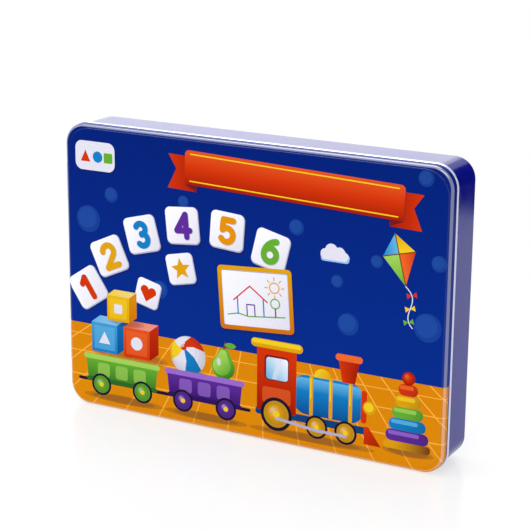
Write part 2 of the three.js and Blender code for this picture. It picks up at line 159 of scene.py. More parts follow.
# Pen, along its axis from the barrel's end; a clip block is (along, size, corner, depth, edges)
PEN_EDGE = 0.3
BARREL = 5.2
BARREL_BORE = 3.9
BARREL_END = 78
BAND = (9, 13)
NOSE = 4.2
NOSE_END = 91
NIB_BORE = 1.65
NIB = 1.5
RESERVOIR = 3.5
RESERVOIR_END = 76.3
STOP = 76.7
PLUG_NECK = 3.75
CAP = 5.8
CAP_BORE = 4.6
CAP_MOUTH = 78.3
CAP_END = 114.8
CLIP_FRONT = 7.4
CLIP_BLOCKS = (
    (101.9, (24, 3.2), 1.2, (0, 0.9), (0.3, 0.15)),
    (113, (1.8, 3.2), 0.5, (0.5, 2.1), (0.1, 0.1)),
)

# Fineness of the meshes; SMOOTH_TURN is the cosine of the sharpest smooth turn, SHARP_EDGE in degrees
CORNER_STEPS = 20
SHOULDER_STEPS = 8
STEP_LOOPS = 6
ROUND_STEPS = 4
BEAD_STEPS = 14
# The bead's first strips at its front take the dark lacquer: painted shade where the lid's rim shades the
# bead
BEAD_PAINTED_SHADE_STRIPS = 3
CURVE_STEPS = 28
LINE_END_STEPS = 7
CURL_STEPS = 30
TRAY_STEPS = 12
EDGE_STEPS = 4
TURN_STEPS = 48
WELL_STEPS = 3
POCKET_STEPS = 5
NOTCH_STEPS = 16
TILE_STEPS = 6
CARD_STEPS = 8
HANDLE_STEPS = 12
GRIP_STEPS = 6
FELT_STEPS = 10
SMOOTH_TURN = 0.8
SHARP_EDGE = 35
NEAR_ZERO = 1e-6
MERGED = 1e-5
WELL_SLACK = 1e-4

# Varnish: the lid's shoulder shines where its normal's share to the front is between two values
SHOULDER_SHINES = (0.3, 0.99)
UNDERSIDE = -0.3
UNDERSIDE_SHINE = 0.35
STEP_SHINE = 0.14

# Artwork on the lid; ARCH_LEAN is the tilt of a number tile in degrees, per radian from the arch's top
HORIZON = 56.5
VANISH = (12, 150)
PRINT_MARGIN = 6
PRINT_LOW = -6
MAT_LINE_PITCH = 27
MAT_LINES = 9
ARCH_MIDDLE = (-28, 50)
ARCH_REACH = (98, 84)
ARCH_START = 158
ARCH_STEP = 19
ARCH_LEAN = 28.65


# Colours
def srgb(red, green, blue):
    """An 8-bit display colour as the linear one that a shader takes."""
    shares = [value / 255 for value in (red, green, blue)]
    return tuple(s / 12.92 if s <= 0.04045 else ((s + 0.055) / 1.055) ** 2.4 for s in shares)


NAVY = srgb(2, 32, 118)
BLUE = srgb(4, 44, 140)
SKY = srgb(60, 120, 205)
PALE_SKY = srgb(150, 190, 240)
ORANGE = srgb(224, 142, 8)
ORANGE_DEEP = srgb(205, 112, 4)
ORANGE_LINE = srgb(246, 176, 70)
RED = srgb(208, 52, 8)
RED_DEEP = srgb(160, 26, 4)
RED_LIGHT = srgb(236, 104, 44)
YELLOW = srgb(240, 204, 36)
YELLOW_DEEP = srgb(220, 160, 14)
GREEN = srgb(100, 170, 50)
GREEN_DEEP = srgb(48, 118, 36)
GREEN_LIGHT = srgb(160, 208, 90)
AQUA = srgb(18, 124, 192)
AQUA_DEEP = srgb(8, 78, 150)
AQUA_LIGHT = srgb(96, 180, 226)
PURPLE = srgb(92, 44, 150)
PURPLE_DEEP = srgb(52, 18, 108)
PURPLE_LIGHT = srgb(150, 106, 204)
WHITE = srgb(224, 223, 236)
WHITE_SHADE = srgb(176, 178, 208)
GREY = srgb(120, 124, 150)
BLACK = srgb(24, 22, 44)
BROWN = srgb(120, 66, 22)


def mix(a, b, share):
    return tuple(x + (y - x) * share for x, y in zip(a, b))


def gradient(first, last, start, end):
    """A colour that runs evenly from one point of the sheet to another."""
    run = (end[0] - start[0], end[1] - start[1])
    square = run[0] ** 2 + run[1] ** 2

    def colour(x, z):
        share = ((x - start[0]) * run[0] + (z - start[1]) * run[1]) / square
        return mix(first, last, min(1, max(0, share)))

    return colour


# Flat artwork, drawn as layers of outlines
def arc_points(x, z, radius, start, end, steps, tall=None):
    """Points of an arc from one angle to another, in degrees."""
    tall = radius if tall is None else tall
    angles = [math.radians(start + (end - start) * i / steps) for i in range(steps + 1)]
    return [(x + radius * math.cos(a), z + tall * math.sin(a)) for a in angles]


def ring_points(x, z, radius, steps=CURVE_STEPS, tall=None):
    return arc_points(x, z, radius, 0, 360, steps, tall)[:-1]


def box_points(width, height, corner, x=0, z=0, steps=6):
    """A rounded rectangle about (x, z), anticlockwise."""
    reach, rise = width / 2 - corner, height / 2 - corner
    points = []
    for side_x, side_z, start in ((1, 1, 0), (-1, 1, 90), (-1, -1, 180), (1, -1, 270)):
        middle = (x + side_x * reach, z + side_z * rise)
        points += arc_points(*middle, corner, start, start + 90, steps)
    return points


def signed_area(points):
    pairs = zip(points, points[1:] + points[:1])
    return sum(a[0] * b[1] - b[0] * a[1] for a, b in pairs) / 2


def bend_angle(before, at, after):
    one = math.atan2(at[1] - before[1], at[0] - before[0])
    two = math.atan2(after[1] - at[1], after[0] - at[0])
    return abs(math.degrees(math.remainder(two - one, 2 * math.pi)))


def band_points(points, half):
    """The outline of a line of a width, with round ends."""
    turns = [math.atan2(b[1] - a[1], b[0] - a[0]) for a, b in zip(points, points[1:])]
    sides = [turns[0]]
    for one, two in zip(turns, turns[1:]):
        sides.append(one + math.remainder(two - one, 2 * math.pi) / 2)
    sides.append(turns[-1])
    left = [(x - half * math.sin(t), z + half * math.cos(t)) for (x, z), t in zip(points, sides)]
    right = [(x + half * math.sin(t), z - half * math.cos(t)) for (x, z), t in zip(points, sides)]
    first, last = [math.degrees(t) for t in (turns[0], turns[-1])]
    start = arc_points(*points[0], half, first + 90, first + 270, LINE_END_STEPS)[1:-1]
    end = arc_points(*points[-1], half, last - 90, last + 90, LINE_END_STEPS)[1:-1]
    return start + right + end + left[::-1]


def clipped(start, end, reach):
    """A line that starts within a reach to either side, up to that reach."""
    if abs(end[0]) <= reach:
        return [start, end]
    share = (math.copysign(reach, end[0]) - start[0]) / (end[0] - start[0])
    return [start, (math.copysign(reach, end[0]), start[1] + (end[1] - start[1]) * share)]


def half_rings(x, z, radius, tall=None):
    """A closed ring as two lines, so that its middle stays open."""
    return [arc_points(x, z, radius, a, a + 180, 10, tall) for a in (-90, 90)]


# The numbers and letters that are printed, as lines on a grid 4 wide and 6 high
GLYPH_HEIGHT = 6
GLYPH_MIDDLE = (2, 3)
SHARP_BEND = 30
BOWL = arc_points(2.1, 4.15, 1.45, 90, -90, 10)
GLYPHS = {
    "1": [[(0.9, 4.5), (2.2, 5.6), (2.2, 0.4)]],
    "2": [arc_points(2, 4.05, 1.55, 165, -35, 12) + [(0.4, 0.4), (3.7, 0.4)]],
    "3": [arc_points(1.9, 4.3, 1.3, 145, -90, 12), arc_points(1.9, 1.75, 1.4, 90, -145, 12)],
    "4": [[(2.9, 0.4), (2.9, 5.6), (0.4, 1.9), (3.8, 1.9)]],
    "5": [[(3.4, 5.6), (0.9, 5.6), (0.75, 3.2)] + arc_points(1.9, 2.1, 1.65, 120, -145, 14)],
    "6": [arc_points(4, 2, 3.6, 108, 180, 8), *half_rings(2, 2, 1.6)],
    "A": [[(0.3, 0.4), (2, 5.6), (3.7, 0.4)], [(0.95, 2.2), (3.05, 2.2)]],
    "B": [
        [(0.7, 0.4), (0.7, 5.6), (2, 5.6)] + arc_points(2, 4.3, 1.3, 90, -90, 10) + [(0.7, 3)],
        arc_points(2.1, 1.7, 1.3, 90, -90, 10) + [(0.7, 0.4)],
    ],
    "C": [arc_points(2.3, 3, 1.9, 50, 310, 18, 2.6)],
    "D": [[(0.7, 0.4), (0.7, 5.6), (1.5, 5.6)] + arc_points(1.5, 3, 2, 90, -90, 14, 2.6) + [(0.7, 0.4)]],
    "E": [[(3.4, 5.6), (0.8, 5.6), (0.8, 0.4), (3.4, 0.4)], [(0.8, 3.05), (3, 3.05)]],
    "F": [[(3.4, 5.6), (0.8, 5.6), (0.8, 0.4)], [(0.8, 3.05), (3, 3.05)]],
    "G": [arc_points(2.2, 3, 1.8, 50, 335, 18, 2.6) + [(3.8, 2.8), (2.5, 2.8)]],
    "H": [[(0.6, 0.4), (0.6, 5.6)], [(3.4, 0.4), (3.4, 5.6)], [(0.6, 3), (3.4, 3)]],
    "I": [[(2, 0.4), (2, 5.6)], [(1, 5.6), (3, 5.6)], [(1, 0.4), (3, 0.4)]],
    "J": [[(3, 5.6), (3, 1.9)] + arc_points(1.7, 1.9, 1.3, 0, -170, 10, 1.5)],
    "K": [[(0.7, 0.4), (0.7, 5.6)], [(3.4, 5.6), (0.8, 2.6)], [(1.7, 3.6), (3.5, 0.4)]],
    "L": [[(0.8, 5.6), (0.8, 0.4), (3.3, 0.4)]],
    "M": [[(0.3, 0.4), (0.5, 5.6), (2, 2.2), (3.5, 5.6), (3.7, 0.4)]],
    "N": [[(0.6, 0.4), (0.6, 5.6), (3.4, 0.4), (3.4, 5.6)]],
    "O": half_rings(2, 3, 1.9, 2.6),
    "P": [[(0.8, 0.4), (0.8, 5.6), (2.1, 5.6)] + BOWL + [(0.8, 2.7)]],
    "Q": [*half_rings(2, 3, 1.9, 2.6), [(2.5, 1.7), (3.8, 0.2)]],
    "R": [[(0.8, 0.4), (0.8, 5.6), (2.1, 5.6)] + BOWL + [(0.8, 2.7)], [(2, 2.7), (3.5, 0.4)]],
    "S": [arc_points(2, 4.3, 1.4, 35, 270, 14, 1.3) + arc_points(2, 1.7, 1.5, 90, -145, 14, 1.3)[1:]],
    "T": [[(0.3, 5.6), (3.7, 5.6)], [(2, 5.6), (2, 0.4)]],
    "U": [[(0.6, 5.6)] + arc_points(2, 2, 1.4, 180, 360, 14, 1.6) + [(3.4, 5.6)]],
    "V": [[(0.4, 5.6), (2, 0.4), (3.6, 5.6)]],
    "W": [[(0.2, 5.6), (1.1, 0.4), (2, 4.2), (2.9, 0.4), (3.8, 5.6)]],
    "X": [[(0.5, 5.6), (3.5, 0.4)], [(3.5, 5.6), (0.5, 0.4)]],
    "Y": [[(0.4, 5.6), (2, 3.1), (3.6, 5.6)], [(2, 3.1), (2, 0.4)]],
    "Z": [[(0.6, 5.6), (3.5, 5.6), (0.5, 0.4), (3.6, 0.4)]],
}


class Sheet:
    """Layers of artwork, the first at the bottom."""

    def __init__(self):
        self.layers = []

    def add(self, outline, colour, cover):
        if signed_area(outline) < 0:
            outline = outline[::-1]
        paint = colour if callable(colour) else (lambda x, z: colour)
        self.layers.append((outline, paint, cover))

    def colour(self, covering, x, z):
        shown = None
        for index in covering:
            _, paint, cover = self.layers[index]
            shown = paint(x, z) if shown is None else mix(shown, paint(x, z), cover)
        return shown or WHITE


class Brush:
    """Draws on a sheet about a place, at a size and a turn."""

    def __init__(self, sheet, x, z, size=1, turn=0):
        self.sheet, self.x, self.z, self.size, self.turn = sheet, x, z, size, turn

    def at(self, x, z, size=1, turn=0):
        place = self.put((x, z))
        return Brush(self.sheet, *place, self.size * size, self.turn + math.radians(turn))

    def put(self, point):
        c, s = math.cos(self.turn) * self.size, math.sin(self.turn) * self.size
        return (self.x + point[0] * c - point[1] * s, self.z + point[0] * s + point[1] * c)

    def fill(self, points, colour, cover=1):
        self.sheet.add([self.put(p) for p in points], colour, cover)

    def blend(self, points, first, last, start, end):
        """Fills an outline with a colour that runs from one to another between two points."""
        self.fill(points, gradient(first, last, self.put(start), self.put(end)))

    def disc(self, x, z, radius, colour, cover=1, tall=None):
        self.fill(ring_points(x, z, radius, tall=tall), colour, cover)

    def box(self, x, z, width, height, corner, colour, cover=1):
        self.fill(box_points(width, height, corner, x, z), colour, cover)

    def stroke(self, points, width, colour):
        """A line with round ends; a sharp bend gets a round joint."""
        run = [points[0]]
        for i, point in enumerate(points[1:], 1):
            run.append(point)
            last = i == len(points) - 1
            if last or bend_angle(points[i - 1], point, points[i + 1]) > SHARP_BEND:
                self.fill(band_points(run, width / 2), colour)
                run = [point]

    def glyph(self, character, height, width, colour):
        """A number or letter, centred, in strokes of a width."""
        scale = height / GLYPH_HEIGHT
        for line in GLYPHS[character]:
            placed = [((x - GLYPH_MIDDLE[0]) * scale, (z - GLYPH_MIDDLE[1]) * scale) for x, z in line]
            self.stroke(placed, width, colour)

    def ball(self, x, z, radius, base, deep, light):
        """A disc shaded as a ball, lit from the upper left."""
        rings, halfway = 7, 0.56
        for i in range(rings):
            share = i / (rings - 1)
            if share < halfway:
                tone = mix(deep, base, min(1, 1.8 * share))
            else:
                tone = mix(base, light, (share - halfway) / (1 - halfway))
            shift = 0.34 * radius * share
            self.disc(x - shift, z + shift, radius * (1 - 0.86 * share), tone)


# Meshes under construction
def dot(a, b):
    return sum(x * y for x, y in zip(a, b))


def blended(flats, closed):
    """Normals at both ends of each stretch, from its length and its own flat normal.

    A long stretch stays flat: a short one beside it takes up the turn, unless the turn is sharp.
    """
    count = len(flats)
    ends = []
    for i, (run, flat) in enumerate(flats):
        pair = []
        for j in (i - 1, i + 1):
            near = flats[j % count] if closed or 0 <= j < count else None
            normal = flat
            if near and dot(flat, near[1]) > SMOOTH_TURN:
                both = [a * run + b * near[0] for a, b in zip(flat, near[1])]
                normal = [v / math.hypot(*both) for v in both]
            pair.append(normal)
        ends.append(pair)
    return ends


def strip_normals(section):
    """Normals, as (outward, back), at both ends of each stretch of a section of (inset, y)."""
    flats = []
    for (inset, y), (next_inset, next_y) in zip(section, section[1:]):
        run = math.hypot(next_inset - inset, next_y - y)
        flats.append((run, ((next_y - y) / run, (next_inset - inset) / run)))
    return blended(flats, section[0] == section[-1])


def from_core(x, z, core):
    """The nearest point of a rectangle about 0, how far (x, z) is from it, and which way."""
    near = [min(c, max(-c, v)) for c, v in zip(core, (x, z))]
    out = math.hypot(x - near[0], z - near[1])
    way = ((x - near[0]) / out, (z - near[1]) / out) if out else (0, 0)
    return near, out, way


def tilted(way, lean):
    """The normal of a front that leans towards a way, in radians."""
    return (way[0] * math.sin(lean), -math.cos(lean), way[1] * math.sin(lean))


# Where rings of points go round: each point has its way out, and a ring's place follows its inset
Rim = namedtuple("Rim", "ways place")


def core_rim(walk, centre, core, corner):
    """The rim along a closed outline; its rings keep the outline's points."""
    near, ways = [], []
    for x, z in walk:
        on_core, _, way = from_core(x - centre[0], z - centre[1], core)
        near.append((on_core[0] + centre[0], on_core[1] + centre[1]))
        ways.append(way)

    def place(inset):
        reach = corner - inset
        return [(n[0] + w[0] * reach, n[1] + w[1] * reach) for n, w in zip(near, ways)]

    return Rim(ways, place)


def box_rim(centre, width, height, corner, steps, least=0.1):
    """The rim of a rounded rectangle, whose rings keep at least the least corner radius."""
    ways = []
    for start in (0, 90, 180, 270):
        ways += arc_points(0, 0, 1, start, start + 90, steps)

    def place(inset):
        radius = max(corner - inset, least)
        return box_points(width - 2 * inset, height - 2 * inset, radius, *centre, steps=steps)

    return Rim(ways, place)


class Skin:
    """A closed mesh in case millimetres, with a normal and a colour at each corner of each face.

    A colour of four values carries the shine of the varnish as its alpha.
    """

    def __init__(self):
        self.points, self.faces, self.normals, self.colours, self.slots = [], [], [], [], []

    def point(self, place):
        self.points.append(place)
        return len(self.points) - 1

    def face(self, corners, normals, slot, colours=None):
        self.faces.append(corners)
        self.normals.extend(normals)
        self.colours.extend(colours or [WHITE] * len(corners))
        self.slots.append(slot)

    def ring(self, rim, inset, y):
        return [self.point((x, y, z)) for x, z in rim.place(inset)]

    def strips(self, rim, section, slots, last):
        """Rings along a section of (inset, y), joined by strips; returns the last ring."""
        count = len(last)
        slots = slots if isinstance(slots, list) else [slots] * len(section)
        for (start, end), (inset, y), slot in zip(strip_normals(section), section[1:], slots):
            following = self.ring(rim, inset, y)
            for i in range(count):
                j = (i + 1) % count
                normals = []
                for k, normal in ((i, start), (i, end), (j, end), (j, start)):
                    way = rim.ways[k]
                    normals.append((way[0] * normal[0], normal[1], way[1] * normal[0]))
                self.face([last[i], following[i], following[j], last[j]], normals, slot)
            last = following
        return last

    def cap(self, ring, centre, y, back, slot):
        """Closes a ring over the middle; back says which way it looks."""
        middle = self.point((centre[0], y, centre[1]))
        normal = (0, 1 if back else -1, 0)
        for i, corner in enumerate(ring):
            following = ring[(i + 1) % len(ring)]
            corners = [corner, middle, following] if back else [middle, corner, following]
            self.face(corners, [normal] * 3, slot)

    def shell(self, rim, section, centre, slots=0, ends=(0, 0), first=None):
        """Strips along a section, closed at both ends, or only at the last if a first ring is given."""
        if not first:
            first = self.ring(rim, *section[0])
            self.cap(first, centre, section[0][1], False, ends[0])
        last = self.strips(rim, section, slots, first)
        self.cap(last, centre, section[-1][1], True, ends[1])

    def block(self, centre, size, corner, depth, edges, steps=8):
        """A solid rounded rectangle between two depths, with its front and back edge rounded."""
        (front, back), (near, far) = depth, edges
        section = round_section(near, front + near, near, near, -1, -2, EDGE_STEPS)
        section += round_section(far, back - far, far, far, 2, 1, EDGE_STEPS)
        self.shell(box_rim(centre, *size, corner, steps), section, centre)

    def turned(self, origin, profile, slots=0, upright=False):
        """A round solid about an axis, from (along, radius) points; it ends on the axis or is a ring."""

        def turn(out, on, way):
            across = (out * way[0], out * way[1])
            return (*across, on) if upright else (on, *across)

        ways = ring_points(0, 0, 1, TURN_STEPS)
        slots = slots if isinstance(slots, list) else [slots] * len(profile)
        rings = []
        for along, radius in profile:
            spots = [turn(radius, along, way) for way in (ways if radius else ways[:1])]
            ring = [self.point(tuple(o + v for o, v in zip(origin, spot))) for spot in spots]
            rings.append(ring if radius else ring * len(ways))
        if profile[0] == profile[-1]:
            rings[-1] = rings[0]
        section = [(-radius, along) for along, radius in profile]
        for (start, end), low, high, slot in zip(strip_normals(section), rings, rings[1:], slots):
            for i in range(len(ways)):
                j = (i + 1) % len(ways)
                around = ((low, start, i), (low, start, j), (high, end, j), (high, end, i))
                made = {}
                for ring, normal, k in around:
                    made.setdefault(ring[k], turn(*normal, ways[k]))
                self.face(list(made), list(made.values()), slot)

    def prism(self, outline, low, high, slot):
        """A solid along z from an anticlockwise outline of (x, y)."""
        rings = [[self.point((x, y, z)) for x, y in outline] for z in (low, high)]
        section = [(-x, y) for x, y in outline + outline[:1]]
        for i, (start, end) in enumerate(strip_normals(section)):
            j = (i + 1) % len(outline)
            corners = [rings[0][i], rings[0][j], rings[1][j], rings[1][i]]
            self.face(corners, [(*n, 0) for n in (start, end, end, start)], slot)
        self.face(rings[0][::-1], [(0, 0, -1)] * len(outline), slot)
        self.face(rings[1], [(0, 0, 1)] * len(outline), slot)

    def build(self, name, *materials):
        mesh = bpy.data.meshes.new(name)
        mesh.from_pydata([case_point(*p) for p in self.points], [], self.faces)
        mesh.polygons.foreach_set("use_smooth", [True] * len(self.faces))
        mesh.polygons.foreach_set("material_index", self.slots)
        paint = mesh.color_attributes.new("print", "FLOAT_COLOR", "CORNER")
        paint.data.foreach_set("color", [v for c in self.colours for v in (*c, 1)[:4]])
        for material in materials:
            mesh.materials.append(material)
        mesh.normals_split_custom_set(self.normals)
        return linked(name, mesh)


def linked(name, data):
    thing = bpy.data.objects.new(name, data)
    bpy.context.scene.collection.objects.link(thing)
    return thing


def round_section(inset, y, inward, back, start, end, steps=ROUND_STEPS):
    """A round stretch of a section about (inset, y), in quarter turns: 0 inward, 1 back, 2 outward."""
    angles = [QUARTER * (start + (end - start) * i / steps) for i in range(steps + 1)]
    return [(inset + inward * math.cos(a), y + back * math.sin(a)) for a in angles]


def boundary(triangles):
    """The outer edge of a patch of triangles, as a walk round it."""
    edges = {}
    for triangle in triangles:
        for pair in zip(triangle, triangle[1:] + triangle[:1]):
            edges[pair] = True
    onward = {a: b for a, b in edges if (b, a) not in edges}
    walk = [next(iter(onward))]
    while onward[walk[-1]] != walk[0]:
        walk.append(onward[walk[-1]])
    return walk


def cut_up(outlines):
    """The triangles between outlines: their places, corners, and the outlines that hold each."""
    points, faces = [], []
    for outline in outlines:
        faces.append(list(range(len(points), len(points) + len(outline))))
        points += [Vector(p) for p in outline]
    made = delaunay_2d_cdt(points, [], faces, 1, MERGED, True)
    return made[0], made[2], made[5]


LEVEL = (0, (0, -1, 0))


class Plate:
    """A flat plate with rounded corners and edges, whose front takes artwork that wraps its edge."""

    edge_steps = 8

    def __init__(self, centre, width, height, corner, front, edge, side, steps=CORNER_STEPS):
        self.centre, self.corner, self.front = centre, corner, front
        self.edge, self.side, self.steps = edge, side, steps
        self.core = (width / 2 - corner, height / 2 - corner)
        self.size = (width, height)
        self.flat = corner - edge
        self.bend = edge * QUARTER

    def loop(self, out):
        """An outline in the flat pattern, at a distance from the core rectangle."""
        width, height = [2 * (side + out) for side in self.core]
        return box_points(width, height, out, *self.centre, steps=self.steps)

    def relief(self, x, z):
        """Depth and normal of the front's flat part."""
        return LEVEL

    def shine(self, y, normal):
        return 1

    def guides(self):
        """Outlines that shape the rounded edge."""
        shares = [i / self.edge_steps for i in range(self.edge_steps + 1)]
        return [self.loop(self.flat + self.bend * share) for share in shares]

    def fold(self, x, z):
        """Place and normal of a point of the flat pattern."""
        x0, z0 = x - self.centre[0], z - self.centre[1]
        near, out, way = from_core(x0, z0, self.core)
        if out <= self.flat + NEAR_ZERO:
            lift, normal = self.relief(x0, z0)
            return (x, self.front + lift, z), normal
        along = out - self.flat
        turn = min(along / self.edge, QUARTER)
        reach = self.flat + self.edge * math.sin(turn)
        y = self.front + self.edge * (1 - math.cos(turn)) + max(0, along - self.bend)
        place = [c + n + w * reach for c, n, w in zip(self.centre, near, way)]
        return (place[0], y, place[1]), tilted(way, turn)

    def print_on(self, skin, sheet):
        """Adds the printed front to the skin, and returns the ring and the places along its rim."""
        edge = self.loop(self.flat + self.bend + self.side)
        outlines = [layer[0] for layer in sheet.layers] + self.guides() + [edge]
        places, triangles, covering = cut_up(outlines)
        kept = [(t, ids) for t, ids in zip(triangles, covering) if len(outlines) - 1 in ids]
        numbers = {}
        for triangle, ids in kept:
            shown = sorted(i for i in ids if i < len(sheet.layers))
            normals, colours = [], []
            for vertex in triangle:
                place, normal = self.fold(*places[vertex])
                if vertex not in numbers:
                    numbers[vertex] = skin.point(place)
                normals.append(normal)
                colours.append((*sheet.colour(shown, *places[vertex]), self.shine(place[1], normal)))
            skin.face([numbers[v] for v in triangle], normals, 0, colours)
        walk = boundary([triangle for triangle, _ in kept])
        rim = core_rim([places[v] for v in walk], self.centre, self.core, self.corner)
        return [numbers[v] for v in walk], rim


class LidPlate(Plate):
    """The lid's face: a raised panel inside a fine step, then the shoulder and the skirt."""

    def panel_loop(self, inset):
        width, height = [size - 2 * inset for size in self.size]
        return box_points(width, height, FACE_CORNER, *self.centre, steps=self.steps)

    def guides(self):
        start = self.edge + FACE_LAND
        insets = [start + FACE_STEP_RUN * i / STEP_LOOPS for i in range(STEP_LOOPS + 1)]
        return [self.panel_loop(inset) for inset in insets] + super().guides()

    def shine(self, y, normal):
        """Varnish shines on the shoulder, less below it and on the step, and not on flat sheet."""
        lean = abs(normal[1])
        if y < self.front + NEAR_ZERO:
            return STEP_SHINE * 4 * lean * (1 - lean)
        if not SHOULDER_SHINES[0] <= lean <= SHOULDER_SHINES[1]:
            return 0
        return UNDERSIDE_SHINE if normal[2] < UNDERSIDE else 1

    def relief(self, x, z):
        """The step rises from the land to the panel in an S, whose outline has its own corners."""
        core = [s / 2 - self.edge - FACE_LAND - FACE_CORNER for s in self.size]
        _, out, way = from_core(x, z, core)
        share = (FACE_CORNER - out) / FACE_STEP_RUN
        if share >= 1:
            return -FACE_STEP, LEVEL[1]
        if share <= 0:
            return LEVEL
        slope = FACE_STEP * 6 * share * (1 - share) / FACE_STEP_RUN
        return -FACE_STEP * share * share * (3 - 2 * share), tilted(way, math.atan(slope))


class SmallPlate(Plate):
    """A tile or a card."""

    edge_steps = 3


class TrayPlate(Plate):
    """The tray's deck, whose wells are (x, z, width, height, corner, depth)."""

    edge_steps = 4
    wells = ()

    def profile(self, depth):
        """(inset, depth, tilt) down a wall: a rounded lip, a drafted wall, a filleted floor."""
        run = depth * WELL_DRAFT
        points = []
        for i in range(WELL_STEPS + 1):
            tilt = QUARTER * i / WELL_STEPS
            points.append((WELL_LIP * (math.sin(tilt) - 1), WELL_LIP * (1 - math.cos(tilt)), tilt))
        for i in range(WELL_STEPS + 1):
            tilt = QUARTER * (1 - i / WELL_STEPS)
            drop = depth - WELL_FILLET * (1 - math.cos(tilt))
            points.append((run + WELL_FILLET * (1 - math.sin(tilt)), drop, tilt))
        return points

    def guides(self):
        loops = super().guides()
        for x, z, width, height, corner, depth in self.wells:
            steps = NOTCH_STEPS if corner == THUMB_RADIUS else POCKET_STEPS
            for inset, _, _ in self.profile(depth):
                size = (width - 2 * inset, height - 2 * inset, corner - inset)
                loops.append(box_points(*size, x, z, steps))
        return loops

    def relief(self, x, z):
        x, z = x + self.centre[0], z + self.centre[1]
        deepest = LEVEL
        for well in self.wells:
            reach = [side / 2 + WELL_MARGIN for side in well[2:4]]
            if abs(x - well[0]) < reach[0] and abs(z - well[1]) < reach[1]:
                deepest = max(deepest, self.wall(x - well[0], z - well[1], *well[2:]))
        return deepest

    def wall(self, x, z, width, height, corner, depth):
        """Depth and normal inside a well, or on its lip."""
        beyond = (abs(x) - width / 2 + corner, abs(z) - height / 2 + corner)
        signs = (math.copysign(1, x), math.copysign(1, z))
        if min(beyond) > 0:
            reach = math.hypot(*beyond)
            way = [b / reach * sign for b, sign in zip(beyond, signs)]
        else:
            reach = max(beyond)
            way = (signs[0], 0) if beyond[0] > beyond[1] else (0, signs[1])
        inset = corner - reach
        points = self.profile(depth)
        if inset <= points[0][0]:
            return LEVEL
        for (start, low, tilt), (end, high, next_tilt) in zip(points, points[1:]):
            if inset <= end + WELL_SLACK:
                share = (inset - start) / (end - start)
                lean = tilt + (next_tilt - tilt) * share
                return low + (high - low) * share, tilted(way, -lean)
        return depth, LEVEL[1]


# Materials
def add_node(tree, kind, *values, **named):
    """A shader node, its inputs set in order or by name, each to a value or to another node's output."""
    node = tree.nodes.new("ShaderNode" + kind)
    chosen = [(node.inputs[name.replace("_", " ")], value) for name, value in named.items()]
    for socket, value in [*zip(node.inputs, values), *chosen]:
        if isinstance(value, bpy.types.NodeSocket):
            tree.links.new(value, socket)
        else:
            socket.default_value = value
    return node


class Finish:
    """A node material around one Principled shader, read in metres of the object's own space."""

    def __init__(self, name, **sockets):
        self.material = bpy.data.materials.new(name)
        self.material.use_nodes = True
        self.tree = self.material.node_tree
        self.shader = self.tree.nodes["Principled BSDF"]
        for socket, value in sockets.items():
            self.shader.inputs[socket.replace("_", " ")].default_value = value
        self.space = self.add("TexCoord").outputs["Object"]

    def add(self, kind, *values, **named):
        return add_node(self.tree, kind, *values, **named)

    def set(self, socket, source):
        self.tree.links.new(source, self.shader.inputs[socket])

    def noise(self, size, detail, stretch=None):
        """Noise whose features are about size millimetres wide."""
        source = self.space
        if stretch:
            source = self.add("Mapping", Vector=source, Scale=stretch).outputs["Vector"]
        return self.add("TexNoise", Vector=source, Scale=1 / (size * MM), Detail=detail).outputs["Fac"]

    def ramp(self, factor, low, high):
        """A colour between two, as a factor goes from 0.3 to 0.7."""
        node = self.add("ValToRGB", Fac=factor)
        for element, place, colour in zip(node.color_ramp.elements, (0.3, 0.7), (low, high)):
            element.position = place
            element.color = (*colour, 1)
        return node.outputs["Color"]

    def spread(self, factor, low, high, start=0.3, end=0.7):
        """A value between two, as a factor goes from start to end."""
        node = self.add("MapRange", factor, From_Min=start, From_Max=end, To_Min=low, To_Max=high)
        return node.outputs["Result"]

    def tint(self, colour, factor, low, high):
        """A colour made a little darker or lighter by a factor."""
        node = self.add("Mix")
        node.data_type = "RGBA"
        node.blend_type = "MULTIPLY"
        node.inputs["Factor"].default_value = 1
        tints = [i for i in node.inputs if i.type == "RGBA"]
        self.tree.links.new(self.spread(factor, low, high), tints[1])
        if isinstance(colour, tuple):
            tints[0].default_value = (*colour, 1)
        else:
            self.tree.links.new(colour, tints[0])
        return [o for o in node.outputs if o.type == "RGBA"][0]

    def paint(self, part="Color"):
        """The colour that is kept at the corners of the mesh, or its alpha."""
        node = self.add("VertexColor")
        node.layer_name = "print"
        return node.outputs[part]

    def bump(self, height, depth, coat=False):
        """Relief of a depth in millimetres."""
        node = self.add("Bump", Height=height, Strength=1, Distance=depth * MM)
        self.set("Normal", node.outputs["Normal"])
        if coat:
            self.set("Coat Normal", node.outputs["Normal"])

    def surface(self, colour, tone, dullness, relief):
        """A tinted colour, uneven dullness and slight relief, and the material itself.

        Each is told by the size and detail of its noise, then its lowest and highest value or its depth.
        """
        self.set("Base Color", self.tint(colour, self.noise(*tone[:2]), *tone[2:]))
        self.set("Roughness", self.spread(self.noise(*dullness[:2]), *dullness[2:]))
        self.bump(self.noise(*relief[:2]), relief[2])
        return self.material


def printed_tin():
    """Ink under a clear varnish that shines where the sheet is bent."""
    finish = Finish("printed_tin", Specular_IOR_Level=0.02, Coat_IOR=2.6, Coat_Roughness=0.09)
    finish.set("Coat Weight", finish.paint("Alpha"))
    return finish.surface(finish.paint(), (0.35, 3, 0.96, 1.03), (9, 4, 0.1, 0.17), (60, 1, 0.25))


def lacquered_tin():
    finish = Finish("lacquered_tin", Roughness=0.3, Specular_IOR_Level=0, Coat_Weight=1, Coat_IOR=1.33)
    blue = finish.ramp(finish.noise(40, 3), srgb(6, 12, 128), srgb(10, 18, 144))
    finish.set("Base Color", finish.tint(blue, finish.noise(0.4, 3), 0.94, 1.04))
    finish.set("Coat Roughness", finish.spread(finish.noise(7, 4), 0.13, 0.18))
    finish.bump(finish.noise(60, 1), 0.15, coat=True)
    return finish.material


